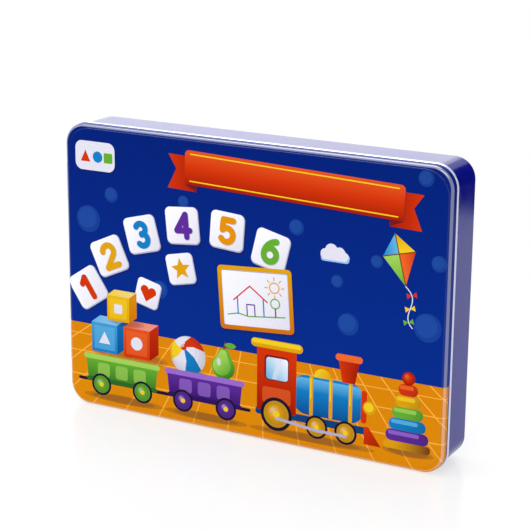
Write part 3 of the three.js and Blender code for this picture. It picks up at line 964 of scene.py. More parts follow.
def bright_tin():
    finish = Finish("bright_tin", Metallic=1)
    finish.set("Base Color", finish.ramp(finish.noise(2.5, 4), (0.58, 0.6, 0.76), (0.63, 0.65, 0.82)))
    finish.set("Roughness", finish.spread(finish.noise(6, 4), 0.2, 0.28))
    finish.bump(finish.noise(0.4, 2), 0.002)
    return finish.material


def plastic(name, colour, roughness=0.25, grain=0.008):
    dullness = (5, 4, 0.85 * roughness, 1.15 * roughness)
    return Finish(name).surface(colour, (14, 3, 0.993, 1.007), dullness, (0.5, 3, grain))


def printed_face(name, roughness):
    finish = Finish(name)
    dullness = (6, 4, 0.85 * roughness, 1.15 * roughness)
    return finish.surface(finish.paint(), (0.3, 3, 0.96, 1.03), dullness, (0.6, 3, 0.008))


def felt(name, colour):
    finish = Finish(name, Roughness=0.95, Specular_IOR_Level=0.2, Sheen_Weight=0.4)
    fibres = finish.noise(0.6, 6, stretch=(1, 0.4, 1))
    finish.set("Base Color", finish.tint(colour, fibres, 0.6, 1.35))
    finish.bump(fibres, 0.35)
    return finish.material


# Motifs of the artwork, each about its own middle or foot
WHITE_LIT = (0.95, 0.95, 1)
PAPER_LIT = (0.93, 0.93, 0.98)
GLASS_LIT = (0.9, 0.95, 1)
REDS = (RED_LIGHT, RED, RED_DEEP)
YELLOWS = (YELLOW, YELLOW_DEEP, ORANGE_DEEP)
GREENS = (GREEN_LIGHT, GREEN, GREEN_DEEP)
AQUAS = (AQUA_LIGHT, AQUA, AQUA_DEEP)
PURPLES = (PURPLE_LIGHT, PURPLE, PURPLE_DEEP)


def shadow(brush, x, z, width, height, cover=0.3):
    for share in (1, 0.78):
        brush.disc(x, z, share * width / 2, BLACK, cover, tall=share * height / 2)


def bubble(brush, x, z, radius):
    brush.disc(x, z, radius, SKY, 0.16)
    brush.disc(x - 0.1 * radius, z + 0.1 * radius, 0.78 * radius, SKY, 0.12)


def white_tile(brush, size, corner, shift, face, lit):
    """A white tile with its shadow and a rounded edge, paler towards the upper left."""
    brush.box(*shift, size, size, corner, BLACK, 0.3)
    brush.box(0, 0, size - 0.6, size - 0.6, corner - 0.2, WHITE_SHADE)
    brush.blend(face, WHITE, WHITE_LIT, (lit, -lit), (-lit, lit))


def number_tile(brush, character, colour):
    white_tile(brush, 25, 4, (1, -1.4), box_points(23.4, 23.4, 3.4, -0.3, 0.4), 9)
    brush.at(0.3, -0.3).glyph(character, 16.5, 4.4, mix(WHITE, GREY, 0.35))
    brush.glyph(character, 16.5, 4.2, colour)


def shape_tile(brush, points, colour):
    """A smaller tile with a plain shape."""
    white_tile(brush, 21, 3.6, (0.9, -1.2), box_points(19.5, 19.5, 3, -0.3, 0.3), 8)
    brush.fill(points, colour)


def star_points(radius):
    arms, points = 5, []
    for i in range(2 * arms):
        reach = radius * (0.45 if i % 2 else 1)
        angle = QUARTER + math.pi * i / arms
        points.append((reach * math.cos(angle), reach * math.sin(angle)))
    return points


def heart_points(radius):
    left = arc_points(-radius / 2, radius * 0.3, radius * 0.54, 195, 20, 12)
    right = arc_points(radius / 2, radius * 0.3, radius * 0.54, 160, -15, 12)
    return left + right + [(0, -radius)]


def ribbon(brush, width, height):
    """A bare ribbon with folded ends."""
    half, low = width / 2, height / 2
    inner, outer, notch, drop = half - 9, half + 12, half + 6, 4
    for side in (-1, 1):
        tail = [(inner, -low - drop), (outer, -low - drop), (notch, -2)]
        tail += [(outer, low - drop), (inner, low - drop)]
        brush.blend([(side * x, z) for x, z in tail], RED_DEEP, RED, (side * inner, 0), (side * outer, 0))
        fold = [(inner, -low - drop), (half, -low), (inner, -low)]
        brush.fill([(side * x, z) for x, z in fold], mix(RED_DEEP, BLACK, 0.5))
    brush.box(0.8, -1, width, height, 3, BLACK, 0.25)
    brush.blend(box_points(width, height, 3), RED_DEEP, RED, (0, -low), (0, -low * 0.2))
    brush.blend(box_points(width, low, 3, 0, low / 2), RED, mix(RED, RED_LIGHT, 0.5), (0, 0), (0, low))
    for z in (-low + 2.4, low - 2.4):
        brush.stroke([(-half + 4, z), (half - 4, z)], 0.8, YELLOW)


def cloud(brush):
    for x, z, radius in ((-9, 0, 5), (-3, 3.4, 6.6), (5, 2, 5.6), (10, -0.6, 4)):
        brush.disc(x + 0.5, z - 0.8, radius, PALE_SKY)
    brush.box(0.5, -3.6, 27, 5, 2.5, PALE_SKY)
    for x, z, radius in ((-9, 0.6, 4.4), (-3, 4, 6), (5, 2.6, 5), (10, 0, 3.4)):
        brush.disc(x, z, radius, WHITE)
    brush.box(0, -2.4, 24, 4.4, 2.2, WHITE)


def kite(brush):
    middle, foot = (0, 3), -19
    tips = [(0, 17), (12, 3), (0, foot), (-12, 3)]
    for i, (light, base, _) in enumerate((YELLOWS, REDS, GREENS, AQUAS)):
        brush.blend([middle, tips[i], tips[(i + 1) % 4]], light, base, middle, tips[i])
    brush.stroke([tips[1], tips[3]], 0.8, BROWN)
    brush.stroke([tips[0], tips[2]], 0.8, BROWN)
    tail = [(3.2 * math.sin(t * 0.45), foot - 2.2 * t) for t in range(14)]
    brush.stroke(tail, 0.7, WHITE)
    for i, colour in ((3, RED), (7, YELLOW), (11, GREEN)):
        x, z = tail[i]
        for wing in (-3.6, 3.6):
            brush.fill([(x, z), (x + wing, z + 2), (x + wing, z - 2)], colour)


def framed_drawing(brush):
    """A white board with a line drawing of a house, a tree and a sun."""
    brush.box(1.2, -1.6, 58, 46, 3, BLACK, 0.3)
    brush.blend(box_points(57, 45, 3), ORANGE_DEEP, YELLOW_DEEP, (0, -22), (0, 22))
    brush.box(0, 0, 51, 39, 1.2, WHITE_SHADE)
    brush.blend(box_points(50.4, 38.2, 1, 0, -0.3), WHITE, PAPER_LIT, (20, -18), (-20, 18))
    brush.stroke([(-22, -12), (-14, -10.6), (-6, -12.4), (22, -11)], 0.9, GREEN)
    brush.stroke([(-14, -11), (-14, 1), (-4, 9), (6, 1), (6, -11.6)], 1, AQUA)
    brush.stroke([(-17, -1.4), (-4, 9), (9, -1.4)], 1, RED)
    brush.stroke([(-7, -11.8), (-7, -4), (-1, -4), (-1, -11.8)], 0.9, PURPLE)
    sun = brush.at(15, 9)
    for line in half_rings(0, 0, 3.6):
        sun.stroke(line, 0.9, YELLOW_DEEP)
    for i in range(8):
        c, s = math.cos(i * math.pi / 4), math.sin(i * math.pi / 4)
        sun.stroke([(5.2 * c, 5.2 * s), (7.2 * c, 7.2 * s)], 0.8, YELLOW_DEEP)
    brush.stroke([(15, -11.4), (15, -5)], 1, BROWN)
    for line in half_rings(15, -2, 3.4):
        brush.stroke(line, 0.9, GREEN)


def pear(brush):
    shadow(brush, 1.5, -9.4, 18, 4.4)
    outline = arc_points(0, 0, 9, 160, 380, 26, 8.6) + arc_points(0.6, 9.6, 4, 10, 170, 12)
    brush.blend(outline, GREEN_DEEP, GREEN, (7, -6), (1, 3))
    inner = arc_points(-1.2, 0.6, 6.8, 160, 380, 22, 6.6) + arc_points(-0.2, 9.4, 2.9, 10, 170, 10)
    brush.blend(inner, GREEN, GREEN_LIGHT, (4, -3), (-3, 5))
    brush.disc(-3.4, 3.2, 1.5, WHITE, 0.7, tall=2.6)
    brush.stroke([(0.6, 13), (1.6, 17.4)], 1.1, BROWN)
    leaf = arc_points(5.4, 16.6, 4.6, 200, 320, 8, 2.8) + arc_points(5.4, 15, 4.6, 20, 160, 8, 2.8)
    brush.fill(leaf, GREEN)


def beach_ball(brush, radius):
    shadow(brush, 0.2 * radius, -0.93 * radius, 1.9 * radius, 0.5 * radius)
    pole = (-0.25 * radius, 0.4 * radius)

    def bulge(end):
        """The middle of a seam from the pole, pushed to one side."""
        return (pole[0] + end[0]) / 2 - 0.12 * end[1], (pole[1] + end[1]) / 2 + 0.12 * end[0]

    for i, colour in enumerate((RED, WHITE, YELLOW, WHITE, AQUA, WHITE)):
        edge = arc_points(0, 0, radius, 20 + 60 * i, 80 + 60 * i, 10)
        brush.fill([pole, bulge(edge[0]), *edge, bulge(edge[-1])], colour)
    brush.disc(*pole, 0.17 * radius, RED)
    rim = ring_points(0, 0, radius)
    for share, cover in ((0.14, 0.1), (0.3, 0.09), (0.5, 0.08)):
        shift = share * 0.5 * radius
        inner = ring_points(-shift, shift, (1 - share * 0.7) * radius)
        for i in range(len(rim)):
            j = (i + 1) % len(rim)
            brush.fill([rim[i], rim[j], inner[j], inner[i]], BLACK, cover)
    brush.disc(-0.42 * radius, 0.5 * radius, 0.2 * radius, WHITE, 0.55, tall=0.13 * radius)


def toy_block(brush, size, tones, mark):
    """A cube seen from the front right, with a plain mark on its front."""
    light, base, deep = tones
    half, lean, rise = size / 2, 0.34 * size, 0.26 * size
    shadow(brush, 0.35 * size, -0.48 * size, 1.7 * size, 0.4 * size, 0.22)
    front = [(-half, -half), (half, -half), (half, half), (-half, half)]
    side = [(half, -half), (half + lean, -half + rise), (half + lean, half + rise), (half, half)]
    top = [(-half, half), (half, half), (half + lean, half + rise), (-half + lean, half + rise)]
    brush.blend(front, base, mix(base, light, 0.45), (0, -half), (0, half))
    brush.blend(side, deep, mix(deep, base, 0.5), (0, -half), (0, half))
    brush.blend(top, light, mix(light, WHITE, 0.25), (-half, half), (half, half))
    brush.fill([(0.8 * x, 0.8 * z) for x, z in front], light, 0.5)
    brush.fill([(0.74 * size * x, 0.74 * size * z) for x, z in mark], WHITE)


def wheel(brush, x, z, radius, tone):
    brush.disc(x, z, radius, BLACK)
    brush.disc(x, z, 0.8 * radius, mix(BLACK, tone, 0.75))
    brush.ball(x, z, 0.68 * radius, tone, mix(tone, BLACK, 0.3), mix(tone, WHITE, 0.4))
    brush.disc(x, z, 0.22 * radius, YELLOW)


def wagon_back(brush, tones):
    """The shadow, the frame and the far wall of a wagon, behind what stands in it."""
    shadow(brush, 1, -1.5, 62, 6)
    brush.stroke([(-33, 9), (33, 9)], 2.2, BLACK)
    brush.fill([(-27, 18), (27, 18), (28, 26), (-28, 26)], mix(tones[2], BLACK, 0.35))


def wagon_front(brush, tones):
    """The near wall and the wheels of a wagon, over what stands in it."""
    light, base, deep = tones
    brush.blend([(-26, 8), (26, 8), (28, 26), (-28, 26)], deep, base, (0, 8), (0, 24))
    brush.box(0, 25.4, 59, 3.6, 1.6, light)
    brush.box(0, 9.6, 55, 3, 1.4, mix(deep, BLACK, 0.25))
    for x in (-14, 0, 14):
        brush.box(x, 17, 9.5, 9.4, 2, light, 0.6)
    for x in (-16, 16):
        wheel(brush, x, 6.6, 7.6, base)


def engine(brush):
    """A toy engine, 84 long, that faces right."""
    shadow(brush, 2, -1.5, 92, 6)
    brush.box(2, 11, 82, 5, 2, mix(AQUA_DEEP, BLACK, 0.35))
    brush.blend(box_points(50, 27, 9, 14, 28), AQUA_DEEP, AQUA, (0, 14), (0, 31))
    brush.blend(box_points(48, 9, 4.4, 14, 35), AQUA, AQUA_LIGHT, (0, 31), (0, 38))
    for x in (2, 16, 30):
        brush.box(x, 28, 2.6, 27, 1, YELLOW_DEEP)
        brush.box(x - 0.4, 33, 1, 14, 0.5, YELLOW)
    brush.box(39.6, 27, 4, 22, 1.8, RED)
    brush.disc(43.4, 27, 4.6, YELLOW_DEEP)
    brush.disc(43, 27.4, 3.2, YELLOW)
    brush.blend([(24, 41), (33, 41), (36, 57), (21, 57)], RED_DEEP, RED, (34, 41), (24, 41))
    brush.box(28.5, 57.6, 19, 4.6, 2.2, RED_LIGHT)
    brush.blend(arc_points(10, 41, 6.4, 0, 180, 12), YELLOW_DEEP, YELLOW, (15, 41), (7, 46))
    brush.blend([(-38, 12), (-9, 12), (-9, 56), (-38, 56)], RED_DEEP, RED, (0, 12), (0, 48))
    brush.box(-23.5, 42, 18, 17, 2.6, mix(RED_DEEP, BLACK, 0.4))
    brush.blend(box_points(16, 15, 2, -23.2, 41.6), AQUA_LIGHT, GLASS_LIT, (-30, 35), (-16, 49))
    brush.fill([(-27, 34.4), (-23.6, 34.4), (-19, 49), (-22.4, 49)], WHITE, 0.6)
    brush.box(-23.5, 57.8, 38, 6, 2.8, YELLOW_DEEP)
    brush.box(-23.9, 58.8, 36, 3, 1.5, YELLOW)
    brush.box(-23.5, 23, 21, 11, 2, RED_LIGHT, 0.5)
    for place in ((-23.5, 10.4, 11.6), (6, 7, 8), (27, 7, 8)):
        wheel(brush, *place, YELLOW_DEEP)
    brush.stroke([(-23.5, 7.6), (6, 4.6), (27, 4.6)], 2, WHITE_SHADE)
    brush.blend([(40, 2), (52, 2), (43, 14), (40, 14)], RED_DEEP, RED, (52, 2), (40, 10))


def ring_tower(brush):
    """Stacking rings on a base, with a ball on top."""
    shadow(brush, 1, -1, 40, 7)
    brush.blend(box_points(36, 6, 2.6, 0, 3), BROWN, YELLOW_DEEP, (16, 3), (-10, 4))
    z = 10.4
    for i, (light, base, _) in enumerate((PURPLES, AQUAS, GREENS, YELLOWS, REDS)):
        width = 33 - 4.5 * i
        ring = box_points(width, 8.8, 4.3, 0, z)
        brush.blend(ring, mix(base, BLACK, 0.35), base, (width / 2, z - 3), (0, z))
        brush.box(-0.08 * width, z + 1.7, 0.72 * width, 3, 1.5, light, 0.75)
        z += 8.7
    brush.ball(0, z, 5, RED, RED_DEEP, RED_LIGHT)


def badge(brush):
    brush.box(0.7, -1, 31, 20, 5, BLACK, 0.25)
    brush.box(0, 0, 30, 19, 5, WHITE)
    brush.fill([(-11, -4), (-3.6, -4), (-7.3, 3.6)], RED)
    brush.disc(2, -0.4, 3.7, AQUA)
    brush.box(10, -0.5, 6.6, 6.6, 1, GREEN)


# Artwork on the lid
def backdrop(brush):
    """The blue field with its bubbles."""
    size = (CASE_WIDTH + 20, CASE_HEIGHT + 20)
    brush.blend(box_points(*size, 1, 0, CASE_HEIGHT / 2, 1), BLUE, NAVY, (0, HORIZON), (0, CASE_HEIGHT))
    bubbles = (
        (-118, 128, 9), (-100, 146, 5), (-64, 88, 6), (-122, 84, 5), (-46, 148, 4), (34, 142, 5),
        (70, 86, 7), (122, 92, 9), (88, 128, 4), (128, 132, 5), (62, 112, 4), (-92, 76, 4), (118, 182, 5),
    )
    for x, z, radius in bubbles:
        bubble(brush, x, z, radius)


def play_mat(brush):
    """The orange mat, with lines across it and lines that run to a vanishing point."""
    wide = CASE_WIDTH / 2 + PRINT_MARGIN
    field = [(-wide, PRINT_LOW), (wide, PRINT_LOW), (wide, HORIZON), (-wide, HORIZON)]
    brush.blend(field, ORANGE, mix(ORANGE, ORANGE_DEEP, 0.35), (0, PRINT_LOW), (0, HORIZON))
    for depth in (0.16, 0.42, 0.78, 1.22):
        z = HORIZON * (1 - depth * 0.82)
        brush.stroke([(-wide + 1, z), (wide - 1, z)], 0.5 + 0.5 * depth, ORANGE_LINE)
    for i in range(-MAT_LINES, MAT_LINES + 1):
        spread = i * MAT_LINE_PITCH
        tip = VANISH[0] + spread * (VANISH[1] - HORIZON) / (VANISH[1] - PRINT_LOW)
        if abs(tip) < wide - 1:
            foot = (VANISH[0] + spread, PRINT_LOW + 0.6)
            brush.stroke(clipped((tip, HORIZON - 0.4), foot, wide - 1), 0.8, ORANGE_LINE)


def lid_art():
    """A toy train on a mat, under number tiles, a ribbon and a kite."""
    brush = Brush(Sheet(), 0, 0)
    backdrop(brush)
    play_mat(brush)
    ribbon(brush.at(30, 168, 1, -2), 150, 22)
    badge(brush.at(-112, 170))
    kite(brush.at(103, 132, 0.9, 14))
    cloud(brush.at(-100, 104, 0.8))
    cloud(brush.at(60, 128, 0.7))
    for i, colour in enumerate((RED, YELLOW_DEEP, AQUA, PURPLE, ORANGE, GREEN)):
        angle = math.radians(ARCH_START - ARCH_STEP * i)
        x = ARCH_MIDDLE[0] + ARCH_REACH[0] * math.cos(angle)
        z = ARCH_MIDDLE[1] + ARCH_REACH[1] * math.sin(angle)
        number_tile(brush.at(x, z, 1, (angle - QUARTER) * ARCH_LEAN), str(i + 1), colour)
    framed_drawing(brush.at(6, 92, 0.92, 4))
    shape_tile(brush.at(-48, 104, 1, 12), star_points(7.4), YELLOW_DEEP)
    shape_tile(brush.at(-73, 84, 0.9, -14), heart_points(6.4), RED)
    wagon_back(brush.at(-94, 9), GREENS)
    toy_block(brush.at(-107, 48.4), 20, AQUAS, [(-0.3, -0.26), (0.3, -0.26), (0, 0.3)])
    toy_block(brush.at(-82, 48.4), 20, REDS, ring_points(0, 0, 0.3))
    toy_block(brush.at(-96, 70), 17, YELLOWS, box_points(0.5, 0.5, 0.06))
    wagon_front(brush.at(-94, 9), GREENS)
    wagon_back(brush.at(-31, 9), PURPLES)
    beach_ball(brush.at(-43, 47), 13)
    pear(brush.at(-17, 43.6, 0.95))
    wagon_front(brush.at(-31, 9), PURPLES)
    engine(brush.at(44, 9, 0.96))
    ring_tower(brush.at(111, 12, 0.86))
    return brush.sheet


# Case
CASE_MIDDLE = (0, CASE_HEIGHT / 2)


def seen_from_front(node):
    """The middle and the size of a node as seen from the front, and where it starts and ends in depth."""
    low, high = case_box(node)
    middle = ((low.x + high.x) / 2, (low.z + high.z) / 2)
    return middle, (high.x - low.x, high.z - low.z), (low.y, high.y)


def fit(piece, body, node):
    """Lets a piece ride its body in the place of a node."""
    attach(piece, body)
    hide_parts(node)


def lid_skin(tin, metal):
    """The printed face, then round the skirt's hem and back along the inside."""
    skin = Skin()
    side = LID_DEPTH - HEM_ROUND - FACE_STEP - SHOULDER
    plate = LidPlate(CASE_MIDDLE, CASE_WIDTH, CASE_HEIGHT, CORNER, FACE_STEP, SHOULDER, side)
    ring, rim = plate.print_on(skin, lid_art())
    hem = SHEET + HEM_REACH
    hem_front = LID_DEPTH - HEM_LENGTH
    bend = SHOULDER - SHEET
    land_end = SHOULDER + FACE_LAND + SHEET / 2
    r = HEM_ROUND
    section = round_section(r, LID_DEPTH - r, r, r, 2, 1)
    section += round_section(hem - r, LID_DEPTH - r, r, r, 1, 0)
    section += round_section(hem - r, hem_front + r, r, r, 0, -1)
    section += [(SHEET, hem_front)]
    section += round_section(SHOULDER, FACE_STEP + SHOULDER, bend, bend, 2, 3, SHOULDER_STEPS)
    section += [(land_end, FACE_STEP + SHEET), (land_end + FACE_STEP_RUN, SHEET)]
    skin.shell(rim, section, CASE_MIDDLE, 1, (1, 1), ring)
    add_knuckles(skin, False)
    return skin.build("lid_skin", tin, metal)


def base_inside(border_end, edge, bead_start):
    """From the middle of the inside out to the wall, and round the neck."""
    bend = SHEET / 2
    radius = BACK_RADIUS - SHEET
    neck_front = FACE_STEP + SHEET + NECK_DROP
    neck_inner = NECK_INSET + SHEET
    n = NECK_ROUND
    section = [(border_end + FOOT_RUN + bend, CASE_DEPTH - FOOT_RECESS - SHEET)]
    section += [(border_end + bend, CASE_DEPTH - SHEET)]
    section += round_section(*edge, radius, radius, 1, 2, SHOULDER_STEPS)
    section += [(BASE_INSET + SHEET, bead_start + SHEET + NECK_INSET - BASE_INSET)]
    section += [(neck_inner, bead_start + SHEET)]
    section += round_section(neck_inner - n, neck_front + n, n, n, 0, -1)
    section += round_section(NECK_INSET + n, neck_front + n, n, n, -1, -2)
    return section + [(NECK_INSET, bead_start)]


def base_skin(lacquer, metal):
    """Metal inside and on the bead, lacquer from the bead's back on; the bead's first strips at its front
    also take the dark lacquer, as painted shade where the lid's rim shades the bead.
    """
    bead_start = LID_DEPTH + BASE_GAP
    edge = (BASE_INSET + BACK_RADIUS, CASE_DEPTH - BACK_RADIUS)
    border_end = edge[0] + FOOT_BORDER
    inside = base_inside(border_end, edge, bead_start)
    reach, half = BASE_INSET + BEAD_PROUD, BEAD_SIZE / 2
    bead = round_section(BASE_INSET, bead_start + half, reach, half, -1, -3, BEAD_STEPS)
    outside = round_section(*edge, BACK_RADIUS, BACK_RADIUS, 2, 1, SHOULDER_STEPS)
    for run, drop in FOOT_SLOPE:
        outside.append((border_end + run * FOOT_RUN, CASE_DEPTH - drop * FOOT_RECESS))
    # Dark lacquer on the bead's front strips is painted shade for the gap under the lid's rim
    slots = [1] * len(inside) + [0] * BEAD_PAINTED_SHADE_STRIPS
    slots += [1] * (len(bead) - 1 - BEAD_PAINTED_SHADE_STRIPS) + [0] * len(outside)
    rim = box_rim(CASE_MIDDLE, CASE_WIDTH, CASE_HEIGHT, CORNER, CORNER_STEPS, FOOT_CORNER)
    skin = Skin()
    skin.shell(rim, inside + bead + outside, CASE_MIDDLE, slots, (1, 0))
    add_knuckles(skin, True)
    return skin.build("base_skin", lacquer, metal)


def curl(back):
    """The outline of a knuckle: a tongue of sheet from the wall, curled round the pin."""
    x, y = HINGE
    wall = -CASE_WIDTH / 2 + (BASE_INSET if back else 0) + SHEET / 2
    side = 1 if back else -1
    end = 360 + CURL_PAST
    outer = arc_points(x, y, KNUCKLE_RADIUS, 90, end, CURL_STEPS, side * KNUCKLE_RADIUS)
    inner = arc_points(x, y, KNUCKLE_BORE, end, 90, CURL_STEPS, side * KNUCKLE_BORE)
    outline = [(wall, outer[0][1]), *outer, *inner, (wall, inner[-1][1])]
    return outline if signed_area(outline) > 0 else outline[::-1]


def add_knuckles(skin, back):
    """The middle knuckle of each hinge is the lid's, the outer two are the base's."""
    pitch = KNUCKLE_LENGTH + KNUCKLE_GAP
    for hinge in (-1, 1):
        middle = (CASE_HEIGHT + hinge * HINGE_SPACING) / 2
        for place in (middle - pitch, middle + pitch) if back else (middle,):
            skin.prism(curl(back), place - KNUCKLE_LENGTH / 2, place + KNUCKLE_LENGTH / 2, 1)


def hinge_pin(node, body, steel):
    low, high = case_box(node)
    half = (high.z - low.z) / 2
    upper = [(half - PIN_HEAD_LENGTH, PIN_RADIUS)] + [(half - drop, radius) for drop, radius in PIN_HEAD]
    profile = [(-along, radius) for along, radius in upper[::-1]] + upper
    skin = Skin()
    skin.turned((*HINGE, (low.z + high.z) / 2), profile, upright=True)
    fit(skin.build(node + "_wire", steel), body, node)


# Inner pieces
def writing_board(gloss, line):
    centre, size, (front, back) = seen_from_front("writing_board")
    section = [(BOARD_EDGE, front), (0, front + BOARD_EDGE), (0, back - BOARD_EDGE), (BOARD_EDGE, back)]
    section += [(BOARD_LINE_INSET, back), (BOARD_LINE_INSET + BOARD_LINE, back)]
    skin = Skin()
    skin.shell(box_rim(centre, *size, CORNER, CORNER_STEPS), section, centre, [0, 0, 0, 0, 1])
    fit(skin.build("board_sheet", gloss, line), "lid", "writing_board")


def tile_wells():
    """A pocket for each tile, and a shallow relief along each row."""
    _, (width, _), (front, back) = seen_from_front("letter_tile_A")
    size = width + 2 * TILE_CLEARANCE
    depth = SINK + back - front + SEAT_GAP
    wells, rows = [], {}
    for letter in LETTERS:
        x, z = seen_from_front(f"letter_tile_{letter}")[0]
        wells.append((x, z, size, size, TILE_CORNER + TILE_CLEARANCE, depth))
        rows.setdefault(round(z, 2), []).append(x)
    for z, places in rows.items():
        first, last = min(places), max(places)
        middle = (first + last) / 2
        wells.append((middle, z, last - first, RELIEF_WIDTH, RELIEF_CORNER, RELIEF_DEPTH))
    return wells


def notched_well(front_node, back_node, corner, upright, notch_depth=None):
    """The well of a piece or a stack, with a round notch for a finger at either end."""
    (x, z), size, (front, _) = seen_from_front(front_node)
    depth = case_box(back_node)[1].y - front + SINK + SEAT_GAP
    width, height = [side + 2 * LOOSE_CLEARANCE for side in size]
    wells = [(x, z, width, height, corner + LOOSE_CLEARANCE, depth)]
    reach = (height if upright else width) / 2 + THUMB_REACH - THUMB_RADIUS
    across = 2 * THUMB_RADIUS
    for side in (-reach, reach):
        place = (x, z + side) if upright else (x + side, z)
        wells.append((*place, across, across, THUMB_RADIUS, notch_depth or depth))
    return wells


def pen_well():
    """The slot of the pen, with spare length in which the cap comes off."""
    plug, cap = case_box("pen_end_plug"), case_box("pen_cap")
    left, right = plug[0].x - LOOSE_CLEARANCE, cap[1].x + CAP_TRAVEL + LOOSE_CLEARANCE
    size = cap[1] - cap[0]
    x, z = (left + right) / 2, (cap[0].z + cap[1].z) / 2
    depth = size.y + SINK + SEAT_GAP
    return (x, z, right - left, size.z + 2 * LOOSE_CLEARANCE, SLOT_CORNER, depth)


def tray(material):
    """The deck with its wells, its skirt, and the underside at one depth."""
    centre, size, (front, back) = seen_from_front("insert_tray")
    corner = CORNER - (CASE_WIDTH - size[0]) / 2
    plate = TrayPlate(centre, *size, corner, front, TRAY_EDGE, TRAY_SIDE, TRAY_STEPS)
    handle_front, handle_back = seen_from_front("eraser_handle")[2]
    notch_depth = handle_back - handle_front + SINK
    plate.wells = [
        *tile_wells(),
        *notched_well("picture_card_01", "picture_card_10", CARD_CORNER, True),
        *notched_well("eraser_handle", "eraser_felt", ERASER_CORNER, False, notch_depth),
        pen_well(),
    ]
    skin = Skin()
    ring, rim = plate.print_on(skin, Sheet())
    deepest = front + max(well[-1] for well in plate.wells) + TRAY_WALL
    section = [(0, front + TRAY_EDGE + TRAY_SIDE), (0, back - TRAY_FOOT_EDGE), (TRAY_FOOT_EDGE, back)]
    section += [(TRAY_WALL, back), (TRAY_WALL, deepest)]
    skin.shell(rim, section, centre, first=ring)
    fit(skin.build("tray_sheet", material), "case", "insert_tray")


def printed_plate(name, node, sheet, material, corner, edge, steps):
    """A tile or a card with its front printed."""
    centre, size, (front, back) = seen_from_front(node)
    plate = SmallPlate(centre, *size, corner, front, edge, back - front - 2 * edge, steps)
    skin = Skin()
    ring, rim = plate.print_on(skin, sheet)
    section = round_section(edge, back - edge, edge, edge, 2, 1, plate.edge_steps)
    skin.shell(rim, section, centre, first=ring)
    return skin.build(name, material)


def blank_print(node, size):
    """A brush at the middle of a white ground that is wider than the piece."""
    brush = Brush(Sheet(), *seen_from_front(node)[0])
    brush.box(0, 0, *size, 1, WHITE)
    return brush


def letter_tile(letter, colour, material):
    node = f"letter_tile_{letter}"
    brush = blank_print(node, TILE_GROUND)
    brush.glyph(letter, LETTER_HEIGHT, LETTER_STROKE, colour)
    form = (TILE_CORNER, TILE_EDGE, TILE_STEPS)
    piece = printed_plate(f"tile_{letter}_face", node, brush.sheet, material, *form)
    fit(piece, f"tile_{letter}", node)


# Pictures of the cards: the motif, its details, size and rise, then the colours of field and frame
CARD_PICTURES = (
    (beach_ball, (20,), 1, 0, PALE_SKY, AQUA),
    (pear, (), 1.9, -6, YELLOW, YELLOW_DEEP),
    (kite, (), 1.3, 2, PALE_SKY, SKY),
    (engine, (), 0.8, -24, GREEN_LIGHT, GREEN),
    (ring_tower, (), 0.86, -24, RED_LIGHT, ORANGE),
    (cloud, (), 2, -2, SKY, BLUE),
    (framed_drawing, (), 0.9, 0, PURPLE_LIGHT, PURPLE),
    (toy_block, (26, YELLOWS, ring_points(0, 0, 0.3)), 1, -3, AQUA_LIGHT, AQUA),
    (shape_tile, (star_points(7.4), YELLOW_DEEP), 2, 0, GREEN_LIGHT, GREEN_DEEP),
    (shape_tile, (heart_points(6.4), RED), 2, 0, YELLOW, ORANGE),
)


def picture_card(number, picture, material):
    motif, details, size, rise, light, deep = picture
    node = f"picture_card_{number:02d}"
    brush = blank_print(node, CARD_GROUND)
    top = CARD_FIELD[1] / 2
    brush.blend(box_points(*CARD_FIELD), light, mix(WHITE, light, 0.5), (0, top), (0, -top))
    frame_line = box_points(*CARD_LINE)
    half = len(frame_line) // 2
    for line in (frame_line[:half + 1], frame_line[half:] + frame_line[:1]):
        brush.stroke(line, 0.7, deep)
    motif(brush.at(0, rise, size), *details)
    form = (CARD_CORNER, CARD_EDGE, CARD_STEPS)
    piece = printed_plate(f"card_{number:02d}_face", node, brush.sheet, material, *form)
    fit(piece, "cards", node)


# Profiles of the pen's parts, as (along, radius)
BARREL_PROFILE = [
    (0, BARREL_BORE), (0, BARREL - PEN_EDGE), (PEN_EDGE, BARREL), (BAND[0], BARREL), (BAND[1], BARREL),
    (BARREL_END - PEN_EDGE, BARREL), (BARREL_END, BARREL - PEN_EDGE), (BARREL_END, NOSE), (86.8, NOSE),
    (87.2, 4.05), (90.7, 2.45), (NOSE_END, 2.2), (NOSE_END, NIB_BORE), (85, NIB_BORE), (85, 2.9),
    (STOP, 2.9), (STOP, BARREL_BORE), (0, BARREL_BORE),
]
BARREL_SLOTS = [0, 0, 0, 1] + [0] * 13
PLUG_PROFILE = [
    (-2.2, 0), (-2.2, 3.6), (-2.05, 4.3), (-1.6, 4.9), (-1.1, BARREL), (-0.15, BARREL), (-0.15, PLUG_NECK),
    (6, PLUG_NECK), (6, 0),
]
RESERVOIR_PROFILE = [
    (6.4, 0), (6.4, 3.3), (6.6, RESERVOIR), (76, RESERVOIR), (RESERVOIR_END, 3.3), (RESERVOIR_END, 0),
]
NIB_PROFILE = [(STOP, 0), (STOP, NIB), (93, NIB), (93.6, 1.42), (94.1, 1.15), (94.4, 0.7), (94.5, 0)]
CAP_PROFILE = [
    (113.6, 0), (113.6, 3.7), (112.7, CAP_BORE), (78.6, CAP_BORE), (CAP_MOUTH, 4.9), (CAP_MOUTH, 5.5),
    (78.6, CAP), (81, CAP), (81.3, 5.6), (81.9, 5.6), (82.2, CAP), (113.9, CAP), (114.4, 5.55),
    (114.7, 5.1), (CAP_END, 4.5), (CAP_END, 0),
]


def add_clip(skin, axis):
    """The flat clip of the cap and the bridge that holds it."""
    front = axis[1] - CLIP_FRONT
    for along, size, corner, (start, end), edges in CLIP_BLOCKS:
        skin.block((axis[0] + along, axis[2]), size, corner, (front + start, front + end), edges)


